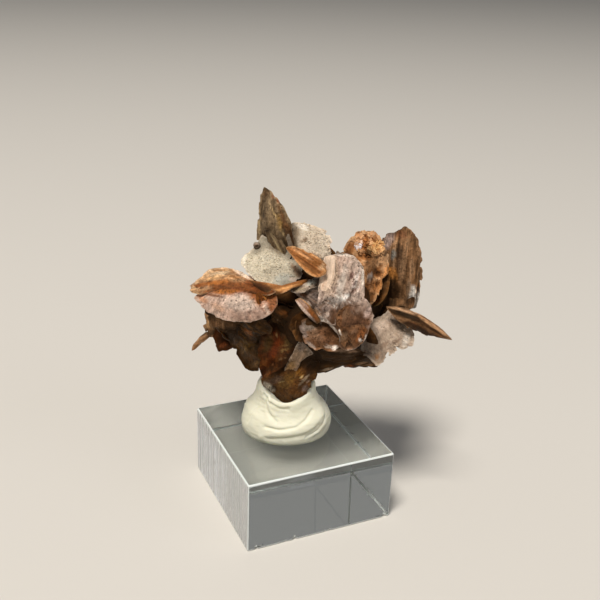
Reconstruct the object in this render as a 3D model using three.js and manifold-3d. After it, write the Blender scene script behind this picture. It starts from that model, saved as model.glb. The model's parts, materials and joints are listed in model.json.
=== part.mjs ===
// Bladed calcite: a rosette of lens-shaped calcite blades that grew together, held by soft
// white putty on a square block of clear acrylic.
// Millimetres, +Z up. The origin is the centre of the block's underside, +X runs along the
// front edge of the block and +Y away from its front face.

import * as THREE from "three";
import { mergeVertices } from "three/addons/utils/BufferGeometryUtils.js";
import Module from "manifold-3d";

const wasm = await Module();
wasm.setup();

// Driving dimensions
const blockSide = 30;
const blockHeight = 14.4;
const blockEdge = 0.3;
const puttyHalfWidth = 8.6;
const puttyHalfDepth = 6.5;
const puttyHeight = 11.6;
const puttyCentre = [-1.2, 0.5];
const pieceGap = 0.3;
const bladeRim = 0.35;

// The cluster is measured in its front view: across and up in mm, seen by an eye that stands
// eyeDistance in front of the view plane. The view plane's middle and its three turns set it
// above the block.
const eyeDistance = 165;
const viewMiddle = [1.6, 1.8, blockHeight + 27.2];
const viewAzimuth = -24.8;
const viewElevation = 22.6;
const viewRoll = 2.1;

const radians = THREE.MathUtils.degToRad;
const viewTurn = new THREE.Matrix4().makeRotationZ(radians(viewAzimuth));
viewTurn.multiply(new THREE.Matrix4().makeRotationX(radians(90 - viewElevation)));
viewTurn.multiply(new THREE.Matrix4().makeRotationZ(radians(viewRoll)));
const viewToPart = new THREE.Matrix4().makeTranslation(...viewMiddle).multiply(viewTurn);

// Blades that the front view shows. Each has the middle of its plane (across, up, depth
// towards the eye), the turn of that plane (yaw to the right, pitch upwards, in degrees), its
// greatest thickness, how flat its face is (2 is a lens, 4 a plate with a bevelled rim), and
// the outline that the front view shows.
const frontBlades = [
  // The upright spire and the scale that lies on its foot
  { at: [-4.8, 14.1, 1], turn: [-28, 0], thick: 3.2, flat: 2.2, outline: [
    [-6.8, 21.5], [-5.5, 20.8], [-4, 19], [-2.7, 16.9], [-1.7, 14.5], [-1.1, 11.4], [-1.1, 8.8],
    [-3, 8.2], [-4.6, 8.9], [-6.5, 10.3], [-8.2, 11.4], [-8.4, 13.5], [-8, 16.4], [-7.5, 19.9]] },
  { at: [-4.9, 10.9, 3.2], turn: [-32, -8], thick: 1, flat: 2, outline: [
    [-6.5, 13.1], [-5.7, 12.9], [-4.8, 11.4], [-3.4, 8.8], [-4.4, 8.4], [-5.5, 9.9], [-6.5, 11.4]] },

  // The two pale sugary discs beside the spire, and the orange lens between them
  { at: [-5.1, 7.2, 3], turn: [-8, 25], thick: 2, flat: 3, outline: [
    [0.4, 4.8], [0.2, 6.9], [-1.5, 9.1], [-3.8, 11.4], [-7.2, 12.2], [-9.1, 9.9], [-10.9, 8.2],
    [-10.7, 6.1], [-8.8, 3.6], [-5.7, 2.3], [-2.7, 2.3], [-0.4, 3.2]] },
  { at: [2.3, 10.7, 2.2], turn: [5, 14], thick: 1.8, flat: 3, outline: [
    [6.5, 9.1], [6.5, 10.9], [5.7, 12.4], [4.2, 13.7], [2.5, 14.1], [0.6, 14.8], [-1.5, 14.5],
    [-2.5, 11.8], [-1.9, 8.6], [0, 6.7], [3.4, 6.9], [5.5, 7.6]] },
  { at: [1.1, 7.2, 6], turn: [10, -52], thick: 2.4, flat: 2, outline: [
    [-2.7, 9.9], [-1.5, 10.3], [0.2, 9.7], [2.1, 8.8], [3.6, 7.8], [4.8, 6.5], [4.8, 5.1],
    [3.2, 4.6], [1.5, 5.3], [-0.2, 7], [-1.7, 8.6]] },

  // The shelf on the left: an upper lobe that looks up, a lower lobe that looks forwards, and
  // the thin rim that runs on from them to the right
  { at: [-12.8, 3.6, 5], turn: [-6, 58], thick: 2.4, flat: 2.5, outline: [
    [-21.3, 2.5], [-20.2, 3.6], [-18.5, 4.8], [-17.9, 5.5], [-16.4, 6.1], [-14.3, 6.3],
    [-12.2, 5.9], [-10.3, 4.8], [-7.6, 3], [-4.6, 1.7], [-6.1, 1], [-9.1, 1.5], [-12.4, 1.9],
    [-16.2, 1.5], [-19, 1.1], [-20.6, 1.5]] },
  { at: [-12, 0, 6.4], turn: [-4, 16], thick: 2.6, flat: 3, outline: [
    [-4, 0.8], [-4.4, -1], [-5.7, -2.5], [-7.2, -3.6], [-9.7, -4.2], [-12.2, -4.2],
    [-14.8, -3.6], [-17.1, -2.7], [-18.7, -1.3], [-20.2, 0.4], [-19.8, 1.5], [-16.2, 3.2],
    [-11.4, 4.2], [-7.2, 3.4], [-4.8, 2.1]] },
  { at: [-3, 2.5, 7], turn: [6, 76], thick: 1.3, flat: 2, outline: [
    [-8.4, 3.6], [-6.5, 3.2], [-3, 3], [0, 3.6], [1.7, 4], [0.6, 2.7], [-1.9, 1.9],
    [-4.6, 1.3], [-6.9, 1.7]] },

  // The large glassy blades in the middle
  { at: [7.8, 3.8, 8], turn: [-4, 14], thick: 2.6, flat: 4, outline: [
    [5.9, 8.8], [7.2, 9.1], [8.8, 9.1], [10.3, 8.6], [11.4, 7.4], [12.2, 6.1], [12.2, 3.4],
    [12, 0], [11.4, -2.3], [8.6, -3.4], [4.9, -1.9], [3.4, 0.8], [3.8, 3.6], [4.4, 6.1],
    [4.9, 7.8]] },
  { at: [5.3, 4.8, 9], turn: [-22, 10], thick: 1.2, flat: 4, outline: [
    [4.4, 7.4], [5.1, 8], [6.3, 8.2], [6.5, 6.1], [6.3, 3.4], [6.1, 1.9], [3.8, 1.5], [3.6, 3],
    [4, 5.7]] },
  { at: [9.9, -4, 8.5], turn: [6, -14], thick: 3, flat: 3, outline: [
    [13.9, -1.1], [14.1, -3], [13.1, -5.7], [12.2, -8], [10.7, -9.3], [8.6, -9.5], [6.5, -9.1],
    [5.3, -6.7], [4.6, -3.4], [5.3, -0.6], [8, 0.6], [11.4, 0.4]] },
  { at: [3.4, -6.5, 8.6], turn: [-10, -10], thick: 2.4, flat: 3, outline: [
    [6.7, -9.5], [4.9, -9.9], [2.9, -9.5], [1.3, -8.6], [0.4, -7], [-0.2, -5.1], [0.2, -3.8],
    [1.9, -3.2], [4.2, -3.6], [5.9, -4.9], [7, -6.7], [7.2, -8.6]] },
  { at: [2.7, 1.7, 6], turn: [-10, 5], thick: 3.4, flat: 2, outline: [
    [5.7, 2.9], [5.9, 0], [4.2, -1.5], [1.5, -0.6], [-0.2, 1], [-0.6, 2.7], [1, 4],
    [3.4, 4.4]] },
  { at: [1.3, -2.1, 7.6], turn: [-38, -30], thick: 1.2, flat: 2, outline: [
    [-0.8, -0.2], [0, 0.4], [1.5, -0.8], [3, -2.3], [4, -3.8], [3.4, -4.6], [1.9, -3.2],
    [0.4, -1.7]] },
  { at: [3, -1.7, 7.8], turn: [-30, -25], thick: 1, flat: 2, outline: [
    [1.3, 0], [2.5, -0.6], [3.8, -1.7], [4.8, -3], [4, -3.6], [2.5, -2.1]] },

  // The golden disc, the bark-like blade and its fellow behind, on the right
  { at: [12.8, 6.5, 3], turn: [14, 8], thick: 3, flat: 2.6, outline: [
    [8.4, 9.5], [9.1, 11.2], [10.5, 12.6], [11.8, 12.8], [13.3, 13.1], [15, 11.8], [16.6, 10.3],
    [17.1, 8.2], [16.9, 6.1], [16, 3.8], [15.2, 1.3], [14.1, -0.4], [12.6, -1.5], [11, 0],
    [9.9, 3.8], [8.8, 7.2]] },
  { at: [19, 6.1, -3], turn: [-14, 2], thick: 2.4, flat: 4, outline: [
    [15.6, 11.6], [16.4, 12.6], [17.7, 12.9], [19.2, 13.5], [20, 13.9], [21.1, 13.3], [22.1, 12],
    [22.5, 9.5], [22.7, 6.7], [22.5, 2.9], [21.7, -1.5], [18.7, -1.7], [15.6, -2.3],
    [14.1, -1.7], [14.5, 1.9], [14.8, 7.2]] },
  { at: [20.9, 6.1, -4], turn: [-12, 2], thick: 2, flat: 4, outline: [
    [19, 11.4], [20.2, 13.1], [21.5, 12.9], [22.7, 11.4], [23.2, 8.6], [23.4, 6.1], [23, 2.9],
    [22.7, 0.4], [22.1, -1.5], [20.6, -1.5], [19.2, 0.8], [18.7, 6.7]] },

  // The lance that points right, the grey disc under it and the wedge beside that
  { at: [22.5, -4.2, 3.4], turn: [6, 58], thick: 2.6, flat: 1.6, outline: [
    [16.4, -1.3], [18.3, -1.3], [20.6, -1.7], [22.8, -2.7], [24.9, -4], [27, -5.5], [29.1, -7.6],
    [26.7, -7.2], [24.4, -6.9], [21.7, -5.9], [19, -4.4], [17.1, -2.5]] },
  { at: [16.9, -7, 1], turn: [4, 16], thick: 2.2, flat: 3, outline: [
    [12.9, -4.4], [14.8, -3.2], [16.8, -2.1], [19.4, -3], [21.3, -5.1], [21.7, -6.9],
    [21.3, -8.6], [20.2, -9.5], [18.7, -9.5], [17.1, -10.5], [15.8, -11.6], [14.5, -12.6],
    [12.6, -11], [11.4, -8.6]] },
  { at: [13.3, -7.2, 1.5], turn: [-35, -10], thick: 1.5, flat: 3, outline: [
    [12.9, -4.6], [14.3, -6.5], [15.2, -8.8], [13.5, -9.3], [11.8, -9.5], [11.4, -7.2],
    [12.2, -5.3]] },

  // The dark blades below, and the root blade that stands in the putty
  { at: [8.9, -11.6, -2], turn: [4, -50], thick: 2.4, flat: 2.5, outline: [
    [3.4, -9.9], [6.5, -8.8], [9.9, -8.6], [13.3, -9.5], [15.6, -11.8], [14.7, -12.8],
    [11.4, -12.8], [8.6, -12.9], [5.7, -13.5], [3.4, -13.9], [2.3, -12.6]] },
  { at: [-1.5, -13.7, -0.6], turn: [-4, -25], thick: 4, flat: 2.6, outline: [
    [-0.4, -7.6], [1.1, -8.6], [2.9, -9.9], [3.8, -11.8], [3.2, -14.1], [2.5, -15.8],
    [1.5, -17.3], [-0.2, -18.7], [-1.7, -19.2], [-2.9, -18.7], [-4.8, -18.8], [-6.3, -17.5],
    [-7, -16.2], [-7.4, -14.8], [-5.7, -13.5], [-3.4, -12], [-2.3, -10.3], [-1.3, -8.8]] },
  { at: [-9.1, -8.8, -1], turn: [-20, -22], thick: 3, flat: 2.6, outline: [
    [-13.7, -5.7], [-12.9, -7.6], [-11.8, -9.1], [-11.4, -11], [-9.9, -12.8], [-8.2, -13.5],
    [-6.9, -12.9], [-5.3, -9.5], [-5.3, -5.7], [-7.2, -3.4], [-10.7, -2.7], [-12.9, -3.8]] },
  { at: [-3.6, -8.9, 1.5], turn: [12, -12], thick: 3.2, flat: 2.6, outline: [
    [-7.2, -5.7], [-6.1, -3.8], [-3.4, -2.7], [-0.8, -3.8], [0, -6.1], [-0.2, -8.6],
    [-1.5, -11], [-3.8, -13.3], [-6.9, -14.8], [-7.8, -12.6], [-8, -8.6]] },

  // The small tabs and the thorn at the lower left
  { at: [-14.7, -7.6, -6], turn: [10, -5], thick: 1.8, flat: 3, outline: [
    [-16.6, -6.7], [-16.2, -8.6], [-15.6, -9.9], [-13.7, -9.7], [-12.9, -8.8], [-12.4, -7.2],
    [-12.9, -5.3], [-15.6, -4.9]] },
  { at: [-16.8, -4.6, -7], turn: [-20, 0], thick: 2.2, flat: 3, outline: [
    [-18.3, -2.3], [-17.9, -3.8], [-18.5, -4.9], [-18.1, -5.9], [-17.5, -7], [-16, -6.9],
    [-14.5, -5.3], [-14.1, -2.9], [-16.2, -1.5]] },
  { at: [-19, -8.2, -7], turn: [-20, 20], thick: 1.2, flat: 2, outline: [
    [-20.6, -9.7], [-20.4, -8.6], [-19.2, -7.2], [-17.9, -6.1], [-16.8, -6.3], [-17.3, -7.2],
    [-19, -8.6], [-20, -9.5]] },
];

// Blades that stand behind, between or under the others are lenses: half their length and
// width in mm, a point (0 is an oval, 0.5 a spearhead), and a phase that varies the outline.
const lensBlades = [
  // The heart of the rosette, where all blades meet
  { at: [2.5, -2, -0.5], turn: [0, 0], roll: 15, half: [14, 11], point: 0, phase: 0.4, thick: 12 },
  { at: [7.8, 0, 3.5], turn: [0, 0], roll: 80, half: [8.5, 5], point: 0, phase: 1.4, thick: 9.5 },
  { at: [3, -4, 4.5], turn: [0, 0], roll: 35, half: [5, 4.2], point: 0, phase: 0.7, thick: 7.5 },
  { at: [1.5, 4, 1.5], turn: [0, 10], roll: 20, half: [7, 5], point: 0, phase: 2.6, thick: 6.5 },
  { at: [-7, -3, -1.5], turn: [-20, 0], roll: 30, half: [8, 6.5], point: 0, phase: 1, thick: 7 },
  { at: [-1, 6.8, -1.5], turn: [0, 10], roll: 0, half: [8.2, 6.2], point: 0, phase: 2, thick: 6 },
  { at: [12, -1, -3.5], turn: [10, 0], roll: 80, half: [9.5, 6], point: 0, phase: 3, thick: 8 },
  { at: [-1.8, -14.5, -6], turn: [160, 10], roll: 96, half: [7.5, 3.8], point: 0.1, phase: 1.6, thick: 4 },
  { at: [-0.5, -9, -3], turn: [0, -10], roll: 0, half: [8.5, 4.5], point: 0, phase: 0.2, thick: 6 },

  // Blades in the shadow between the front ones
  { at: [-9.5, -2.5, 2], turn: [-10, -55], roll: 8, half: [8.5, 5], point: 0.2, phase: 0.3, thick: 2.2 },
  { at: [-1.5, 0.5, 4.2], turn: [35, -20], roll: 40, half: [4.5, 3], point: 0.2, phase: 1.3, thick: 1.8 },
  { at: [14.2, 4.5, 0], turn: [-25, 15], roll: 95, half: [6, 3], point: 0.3, phase: 2.3, thick: 2 },
  { at: [17.2, -2.8, -1.6], turn: [0, 30], roll: -10, half: [3.6, 2], point: 0.2, phase: 0, thick: 3.4 },
  { at: [7.5, -9.8, 1.2], turn: [10, -35], roll: -5, half: [6.5, 3.2], point: 0.2, phase: 0.9, thick: 2 },
  { at: [-12.2, -5.8, -2], turn: [-15, -30], roll: -20, half: [4.4, 3], point: 0.2, phase: 1.9, thick: 2.2 },

  // The back
  { at: [-0.8, 8.8, -7], turn: [170, 14], roll: 0, half: [6.8, 5.6], point: 0, phase: 0.5, thick: 2.2 },
  { at: [5, 0, -10.5], turn: [176, 4], roll: 70, half: [10, 8.5], point: 0, phase: 1.5, thick: 2.6 },
  { at: [-10.5, -0.6, -7.5], turn: [-140, 4], roll: 14, half: [8.5, 5.2], point: 0.1, phase: 2.5, thick: 2.4 },
  { at: [-3.4, -7.6, -9], turn: [-170, -28], roll: -15, half: [8.5, 6], point: 0.1, phase: 0.1, thick: 2.6 },
  { at: [16.8, 2.2, -9], turn: [150, 6], roll: 88, half: [9.8, 5.8], point: 0.1, phase: 3.1, thick: 2.6 },
  { at: [-1.5, 3, -12.5], turn: [100, 6], roll: 80, half: [8, 4.5], point: 0.35, phase: 0.8, thick: 2 },
  { at: [-8, -2.5, -12], turn: [118, -12], roll: 60, half: [7.5, 4.2], point: 0.35, phase: 1.7, thick: 2 },
  { at: [9.5, 4, -12], turn: [62, 12], roll: -75, half: [6.5, 4.5], point: 0.35, phase: 2.4, thick: 2 },
  { at: [11.6, 6.6, -8], turn: [165, 48], roll: -12, half: [7, 4.4], point: 0.3, phase: 2.9, thick: 2.4 },
  { at: [9, -9, -7.5], turn: [160, -42], roll: 12, half: [9.5, 5], point: 0.3, phase: 0.6, thick: 2.6 },
  { at: [17.5, -4.5, -8.5], turn: [120, -18], roll: 10, half: [8, 3.6], point: 0.5, phase: 1.2, thick: 2.2 },
  { at: [0.5, -2.5, -13.2], turn: [178, -12], roll: 0, half: [6, 5], point: 0, phase: 2.2, thick: 1.8 },
  { at: [-4.6, 10.5, -6.5], turn: [-150, 16], roll: 78, half: [7.5, 3.2], point: 0.5, phase: 0, thick: 2.2 },
  { at: [-15.5, -0.5, -3.5], turn: [-95, 12], roll: 5, half: [6, 3.4], point: 0.2, phase: 1.1, thick: 2 },
  { at: [-12.5, -4.6, -7], turn: [-120, -20], roll: -10, half: [6.5, 4.2], point: 0.2, phase: 1.8, thick: 2.2 },
  { at: [11.5, -10, -4.5], turn: [30, -62], roll: 15, half: [6.5, 4.2], point: 0.2, phase: 2.6, thick: 2.2 },
];
const lensCorners = 12;
const lensWobble = 0.06;
const lensFlat = 2.4;

// Rings of a blade between its middle and its rim, as shares of the way out. Plates have one,
// where their bevelled rim starts, and so have the blades that are mostly hidden.
const roundRings = [0.5, 0.86];
const plateRings = [0.8];
const hiddenRings = [0.66];
const plateFlat = 3;

// The putty's side, from its foot to the middle of its bowl, as shares of its half width and
// of its height
const puttyProfile = [
  [0.94, 0], [1, 0.08], [1.02, 0.2], [1, 0.34], [0.93, 0.5], [0.82, 0.64], [0.73, 0.8],
  [0.68, 0.94], [0.6, 1], [0.5, 0.95], [0.3, 0.84]];
const puttyBowl = 0.8;
const puttySides = 32;
const puttyWobble = 0.02;
const puttyFootGap = 0.02;
const collarDip = 0.28;


// The plane of a blade: its own X and Y run in the plane, its Z out of the blade's face.
function bladePlane(middle, [yaw, pitch], roll) {
  const angles = new THREE.Euler(radians(-pitch), radians(yaw), radians(roll), "YXZ");
  return new THREE.Matrix4().makeRotationFromEuler(angles).setPosition(...middle);
}

// A point of the front view, carried along its line of sight to a depth.
function onSight([across, up], depth) {
  const nearness = 1 - depth / eyeDistance;
  return [across * nearness, up * nearness, depth];
}

// The outline that the front view shows, carried along the lines of sight to the plane.
function outlineOnPlane(outline, plane) {
  const toPlane = plane.clone().invert();
  const eye = new THREE.Vector3(0, 0, eyeDistance).applyMatrix4(toPlane);
  return outline.map(([across, up]) => {
    const aim = new THREE.Vector3(across, up, 0).applyMatrix4(toPlane);
    return eye.clone().lerp(aim, eye.z / (eye.z - aim.z));
  });
}

// A lens outline: an oval whose ends grow pointed, with a slow three- and fivefold wobble.
function lensOutline([halfLength, halfWidth], point, phase) {
  return Array.from({ length: lensCorners }, (_, i) => {
    const angle = (i / lensCorners) * 2 * Math.PI;
    const wobble = Math.sin(3 * angle + phase) + 0.6 * Math.sin(5 * angle + 2.3 * phase);
    const size = 1 + lensWobble * wobble;
    const narrowing = Math.abs(Math.sin(angle)) ** point;
    const x = halfLength * size * Math.cos(angle);
    const y = halfWidth * size * Math.sin(angle) * narrowing;
    return new THREE.Vector3(x, y, 0);
  });
}

// A blade: rings of the outline, drawn in towards the middle and raised on both faces, from
// one middle point to the other. grow widens it all round by that distance.
function bladeGeometry({ outline, plane, thick, flat, ringShares }, grow) {
  const corners = THREE.ShapeUtils.isClockWise(outline) ? [...outline].reverse() : outline;
  const count = corners.length;
  const middle = new THREE.Vector3();
  corners.forEach((corner) => middle.addScaledVector(corner, 1 / count));
  const vertices = [];
  const triangles = [];
  const faceHeight = (share) => bladeRim / 2 + ((thick - bladeRim) / 2) * (1 - share ** flat);
  const addRing = (share, height) => corners.forEach((corner) => {
    const outwards = corner.clone().sub(middle);
    const reach = share + (grow * share) / outwards.length();
    vertices.push(middle.clone().addScaledVector(outwards, reach).setZ(height));
  });
  vertices.push(middle.clone().setZ(faceHeight(0) + grow));
  ringShares.forEach((share) => addRing(share, faceHeight(share) + grow));
  addRing(1, 0);
  [...ringShares].reverse().forEach((share) => addRing(share, -faceHeight(share) - grow));
  vertices.push(middle.clone().setZ(-faceHeight(0) - grow));

  const rings = 2 * ringShares.length + 1;
  const last = vertices.length - 1;
  for (let i = 0; i < count; i += 1) {
    const next = (i + 1) % count;
    triangles.push(0, 1 + i, 1 + next);
    for (let ring = 0; ring < rings - 1; ring += 1) {
      const upper = 1 + ring * count;
      const lower = upper + count;
      triangles.push(upper + i, lower + i, lower + next);
      triangles.push(upper + i, lower + next, upper + next);
    }
    triangles.push(last, last - count + next, last - count + i);
  }
  return closedGeometry(vertices, triangles).applyMatrix4(plane).applyMatrix4(viewToPart);
}

function closedGeometry(vertices, triangles) {
  const geometry = new THREE.BufferGeometry().setFromPoints(vertices);
  geometry.setIndex(triangles);
  return geometry;
}

// Solids for joining and cutting, and back
function toSolid(geometry) {
  const bare = geometry.clone();
  bare.deleteAttribute("normal");
  bare.deleteAttribute("uv");
  const merged = mergeVertices(bare, 1e-5);
  return new wasm.Manifold(new wasm.Mesh({
    numProp: 3,
    vertProperties: merged.attributes.position.array,
    triVerts: new Uint32Array(merged.index.array),
  }));
}

function toGeometry(solid) {
  const { vertProperties, triVerts } = solid.getMesh();
  const geometry = new THREE.BufferGeometry();
  geometry.setAttribute("position", new THREE.BufferAttribute(new Float32Array(vertProperties), 3));
  geometry.setIndex([...triVerts]);
  geometry.computeVertexNormals();
  return geometry;
}

function joined(solids) {
  return solids.reduce((whole, solid) => whole.add(solid));
}

function allBlades() {
  const front = frontBlades.map(({ at, turn, thick, flat, outline }) => {
    const plane = bladePlane(onSight(at, at[2]), turn, 0);
    const ringShares = flat < plateFlat ? roundRings : plateRings;
    return { outline: outlineOnPlane(outline, plane), plane, thick, flat, ringShares };
  });
  const lenses = lensBlades.map(({ at, turn, roll, half, point, phase, thick }) => {
    const plane = bladePlane(at, turn, roll);
    const shape = { thick, flat: lensFlat, ringShares: hiddenRings };
    return { outline: lensOutline(half, point, phase), plane, ...shape };
  });
  return [...front, ...lenses];
}

// The putty: an oval blob that is widest near its foot, draws in to a neck and ends in a
// collar, low in front and in two horns beside the root blade. It faces as the cluster does.
function puttyGeometry() {
  const vertices = [];
  const triangles = [];
  const levels = puttyProfile.length;
  const addPoint = (angle, reach, level) => {
    const collar = 1 - collarDip * Math.max(0, -Math.sin(angle)) ** 2;
    const wobble = 1 + puttyWobble * Math.sin(2 * angle + 5 * level);
    const x = puttyHalfWidth * reach * wobble * Math.cos(angle);
    const y = puttyHalfDepth * reach * wobble * Math.sin(angle);
    vertices.push(new THREE.Vector3(x, y, puttyHeight * level * collar));
  };
  addPoint(0, 0, 0);
  puttyProfile.forEach(([reach, level]) => {
    for (let i = 0; i < puttySides; i += 1) {
      addPoint((i / puttySides) * 2 * Math.PI, reach, level);
    }
  });
  vertices.push(new THREE.Vector3(0, 0, puttyHeight * puttyBowl));
  const last = vertices.length - 1;
  for (let i = 0; i < puttySides; i += 1) {
    const next = (i + 1) % puttySides;
    triangles.push(0, 1 + next, 1 + i);
    for (let level = 0; level < levels - 1; level += 1) {
      const lower = 1 + level * puttySides;
      const upper = lower + puttySides;
      triangles.push(lower + i, lower + next, upper + next);
      triangles.push(lower + i, upper + next, upper + i);
    }
    triangles.push(last, last - puttySides + i, last - puttySides + next);
  }
  const geometry = closedGeometry(vertices, triangles);
  geometry.rotateZ(radians(viewAzimuth));
  return geometry.translate(...puttyCentre, blockHeight + puttyFootGap);
}

// The block: a square prism with all its edges broken by a narrow bevel
function blockGeometry() {
  const half = blockSide / 2 - blockEdge;
  const face = new THREE.Shape([
    new THREE.Vector2(-half, -half),
    new THREE.Vector2(half, -half),
    new THREE.Vector2(half, half),
    new THREE.Vector2(-half, half),
  ]);
  const geometry = new THREE.ExtrudeGeometry(face, {
    depth: blockHeight - 2 * blockEdge,
    bevelThickness: blockEdge,
    bevelSize: blockEdge,
    bevelSegments: 1,
  });
  return geometry.translate(0, 0, blockEdge);
}

function namedMesh(name, geometry, colour, roughness, extra = {}) {
  const material = new THREE.MeshStandardMaterial({ color: colour, roughness, metalness: 0, ...extra });
  const mesh = new THREE.Mesh(geometry, material);
  mesh.name = name;
  return mesh;
}

const blades = allBlades();
const cluster = joined(blades.map((blade) => toSolid(bladeGeometry(blade, 0))));
const socket = joined(blades.map((blade) => toSolid(bladeGeometry(blade, pieceGap))));
const putty = toSolid(puttyGeometry()).subtract(socket);

const group = new THREE.Group();
group.add(namedMesh("acrylic_block", blockGeometry(), 0xe8eef0, 0.05, { transparent: true, opacity: 0.35 }));
group.add(namedMesh("mounting_putty", toGeometry(putty), 0xeeeedd, 0.55));
group.add(namedMesh("calcite_cluster", toGeometry(cluster), 0x8a6248, 0.4));

export default group;
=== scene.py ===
# %% [markdown]
# # Bladed calcite on a clear block
#
# The specimen is a rosette of calcite: some seventy lens-shaped blades that grew through one
# another, brown and lilac-grey inside, with thin tan rims and two discs dusted with a pale
# sugary crust. A knob of white putty holds it on a square block of clear acrylic.
#
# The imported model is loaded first, as a fixed frame. Everything after it is in metres in that
# same frame: +Z up, the origin at the centre of the block's underside.

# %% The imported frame
import itertools
import json
import math

import bmesh
import bpy
import numpy as np
from mathutils import Matrix, Vector

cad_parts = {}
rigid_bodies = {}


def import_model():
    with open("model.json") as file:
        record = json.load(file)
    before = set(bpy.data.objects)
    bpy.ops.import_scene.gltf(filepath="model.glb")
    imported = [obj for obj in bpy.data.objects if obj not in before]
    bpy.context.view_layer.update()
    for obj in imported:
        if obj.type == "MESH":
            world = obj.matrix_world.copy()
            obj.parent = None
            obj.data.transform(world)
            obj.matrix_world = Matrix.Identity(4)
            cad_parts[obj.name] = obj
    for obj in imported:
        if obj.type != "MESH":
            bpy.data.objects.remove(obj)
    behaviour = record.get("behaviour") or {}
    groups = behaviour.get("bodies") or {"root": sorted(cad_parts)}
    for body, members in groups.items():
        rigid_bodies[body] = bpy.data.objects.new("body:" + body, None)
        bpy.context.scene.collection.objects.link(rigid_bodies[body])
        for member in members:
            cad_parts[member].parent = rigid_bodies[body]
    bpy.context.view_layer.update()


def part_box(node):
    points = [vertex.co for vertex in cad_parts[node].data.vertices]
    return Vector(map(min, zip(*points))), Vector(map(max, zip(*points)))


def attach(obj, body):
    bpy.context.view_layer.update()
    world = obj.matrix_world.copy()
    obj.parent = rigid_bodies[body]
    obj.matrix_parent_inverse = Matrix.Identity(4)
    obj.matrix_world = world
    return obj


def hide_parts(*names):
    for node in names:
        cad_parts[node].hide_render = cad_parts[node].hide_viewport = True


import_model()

MM = 0.001
block_low, block_high = (np.array(corner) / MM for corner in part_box("acrylic_block"))
putty_low, putty_high = (np.array(corner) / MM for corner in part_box("mounting_putty"))
print("block", np.round(block_high - block_low, 2), "mm")

# %% [markdown]
# ## The front view
#
# The blades are measured in the view that shows the specimen best: across and up in
# millimetres, on a plane 165 mm in front of the eye. Three turns set that plane above the
# block. The camera stands at the same eye, so a blade drawn there is seen there.

# %% View plane and camera
EYE_DISTANCE = 165
VIEW_MIDDLE = np.array([1.6, 1.8, block_high[2] + 27.2])
VIEW_AZIMUTH = -24.8
VIEW_ELEVATION = 22.6
VIEW_ROLL = 2.1
SENSOR = 36
LENS = 52
NEAREST = 0.01
FARTHEST = 20


def turn_about(axis, degrees):
    """The 3 x 3 matrix of a turn about one of the axes X, Y or Z."""
    return np.array(Matrix.Rotation(math.radians(degrees), 3, axis))


VIEW_TURN = turn_about("Z", VIEW_AZIMUTH) @ turn_about("X", 90 - VIEW_ELEVATION)
VIEW_TURN = VIEW_TURN @ turn_about("Z", VIEW_ROLL)
EYE = VIEW_MIDDLE + VIEW_TURN @ np.array([0, 0, EYE_DISTANCE])


def make_camera():
    data = bpy.data.cameras.new("camera")
    data.lens = LENS
    data.sensor_width = SENSOR
    data.clip_start = NEAREST
    data.clip_end = FARTHEST
    camera = bpy.data.objects.new("camera", data)
    place = Matrix(VIEW_TURN.tolist()).to_4x4()
    place.translation = Vector(EYE * MM)
    camera.matrix_world = place
    bpy.context.scene.collection.objects.link(camera)
    bpy.context.scene.camera = camera


make_camera()
print("eye at", np.round(EYE, 1), "mm")

# %% [markdown]
# ## Colours
#
# Colours are chosen as sRGB hex values, the way a colour picker gives them, and one function
# turns them to the linear light that a render works in. Each kind of blade has a face colour,
# a deeper colour for its mottling and streaks, and a rim colour, because calcite is thinner
# and paler at its edges; on the rims it is also a painted glow of light through the thin edge.

# %% Colour table
def linear(hex_colour):
    """sRGB hex to linear light: c/12.92 in the dark toe, ((c+0.055)/1.055)^2.4 above it."""
    channels = np.array([int(hex_colour[i:i + 2], 16) for i in (1, 3, 5)]) / 255
    return np.where(channels <= 0.04045, channels / 12.92, ((channels + 0.055) / 1.055) ** 2.4)


TONES = {
    "olive": ("#75624a", "#2e2218", "#a89070"),
    "cream": ("#cfc5af", "#9c8d78", "#efe0ca"),
    "blush": ("#d0c2ae", "#8f7860", "#ecd6be"),
    "orange": ("#b2733f", "#552a0f", "#e8b27e"),
    "tan": ("#c69c72", "#74421e", "#efcda6"),
    "rose": ("#bea292", "#855c48", "#ecd2be"),
    "lilac": ("#c5ae9f", "#7d6253", "#e6cfbc"),
    "pink": ("#eed6bf", "#b08868", "#f4dcc4"),
    "plum": ("#785136", "#301808", "#a87c58"),
    "gold": ("#aa7040", "#47260e", "#ecc194"),
    "bark": ("#856040", "#2e1a0b", "#b9926e"),
    "grey": ("#a99786", "#684f3c", "#d8c6b2"),
    "band": ("#763f15", "#301506", "#a96a34"),
    "dark": ("#37200d", "#0e0602", "#6a4720"),
    "brown": ("#543212", "#1b0d04", "#8c6239"),
    "russet": ("#54280c", "#150702", "#7c4a22"),
}
# The dark brown painted into crevices: painted shade, with some settled dirt
CREVICE_SHADE_AND_DIRT = "#1c0e06"
TONES_LINEAR = {name: [linear(colour) for colour in tone] for name, tone in TONES.items()}
print(len(TONES), "kinds of blade colour")

# %% [markdown]
# ## Noise
#
# Nothing on a crystal that grew in the ground is even, so every relief and every stain is
# varied by value noise: random numbers at the corners of a lattice of cubes, blended across
# each cube. It is worked out for all points at once and gives the same result each run.

# %% Value noise
LATTICE_FACTORS = np.array([374761393, 668265263, 2246822519], np.uint64)
SEED_FACTOR = 97531
MIXING_FACTOR = np.uint64(1274126177)
FIRST_SHIFT = np.uint64(13)
SECOND_SHIFT = np.uint64(16)
SIXTEEN_BITS = 0xFFFF


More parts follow.
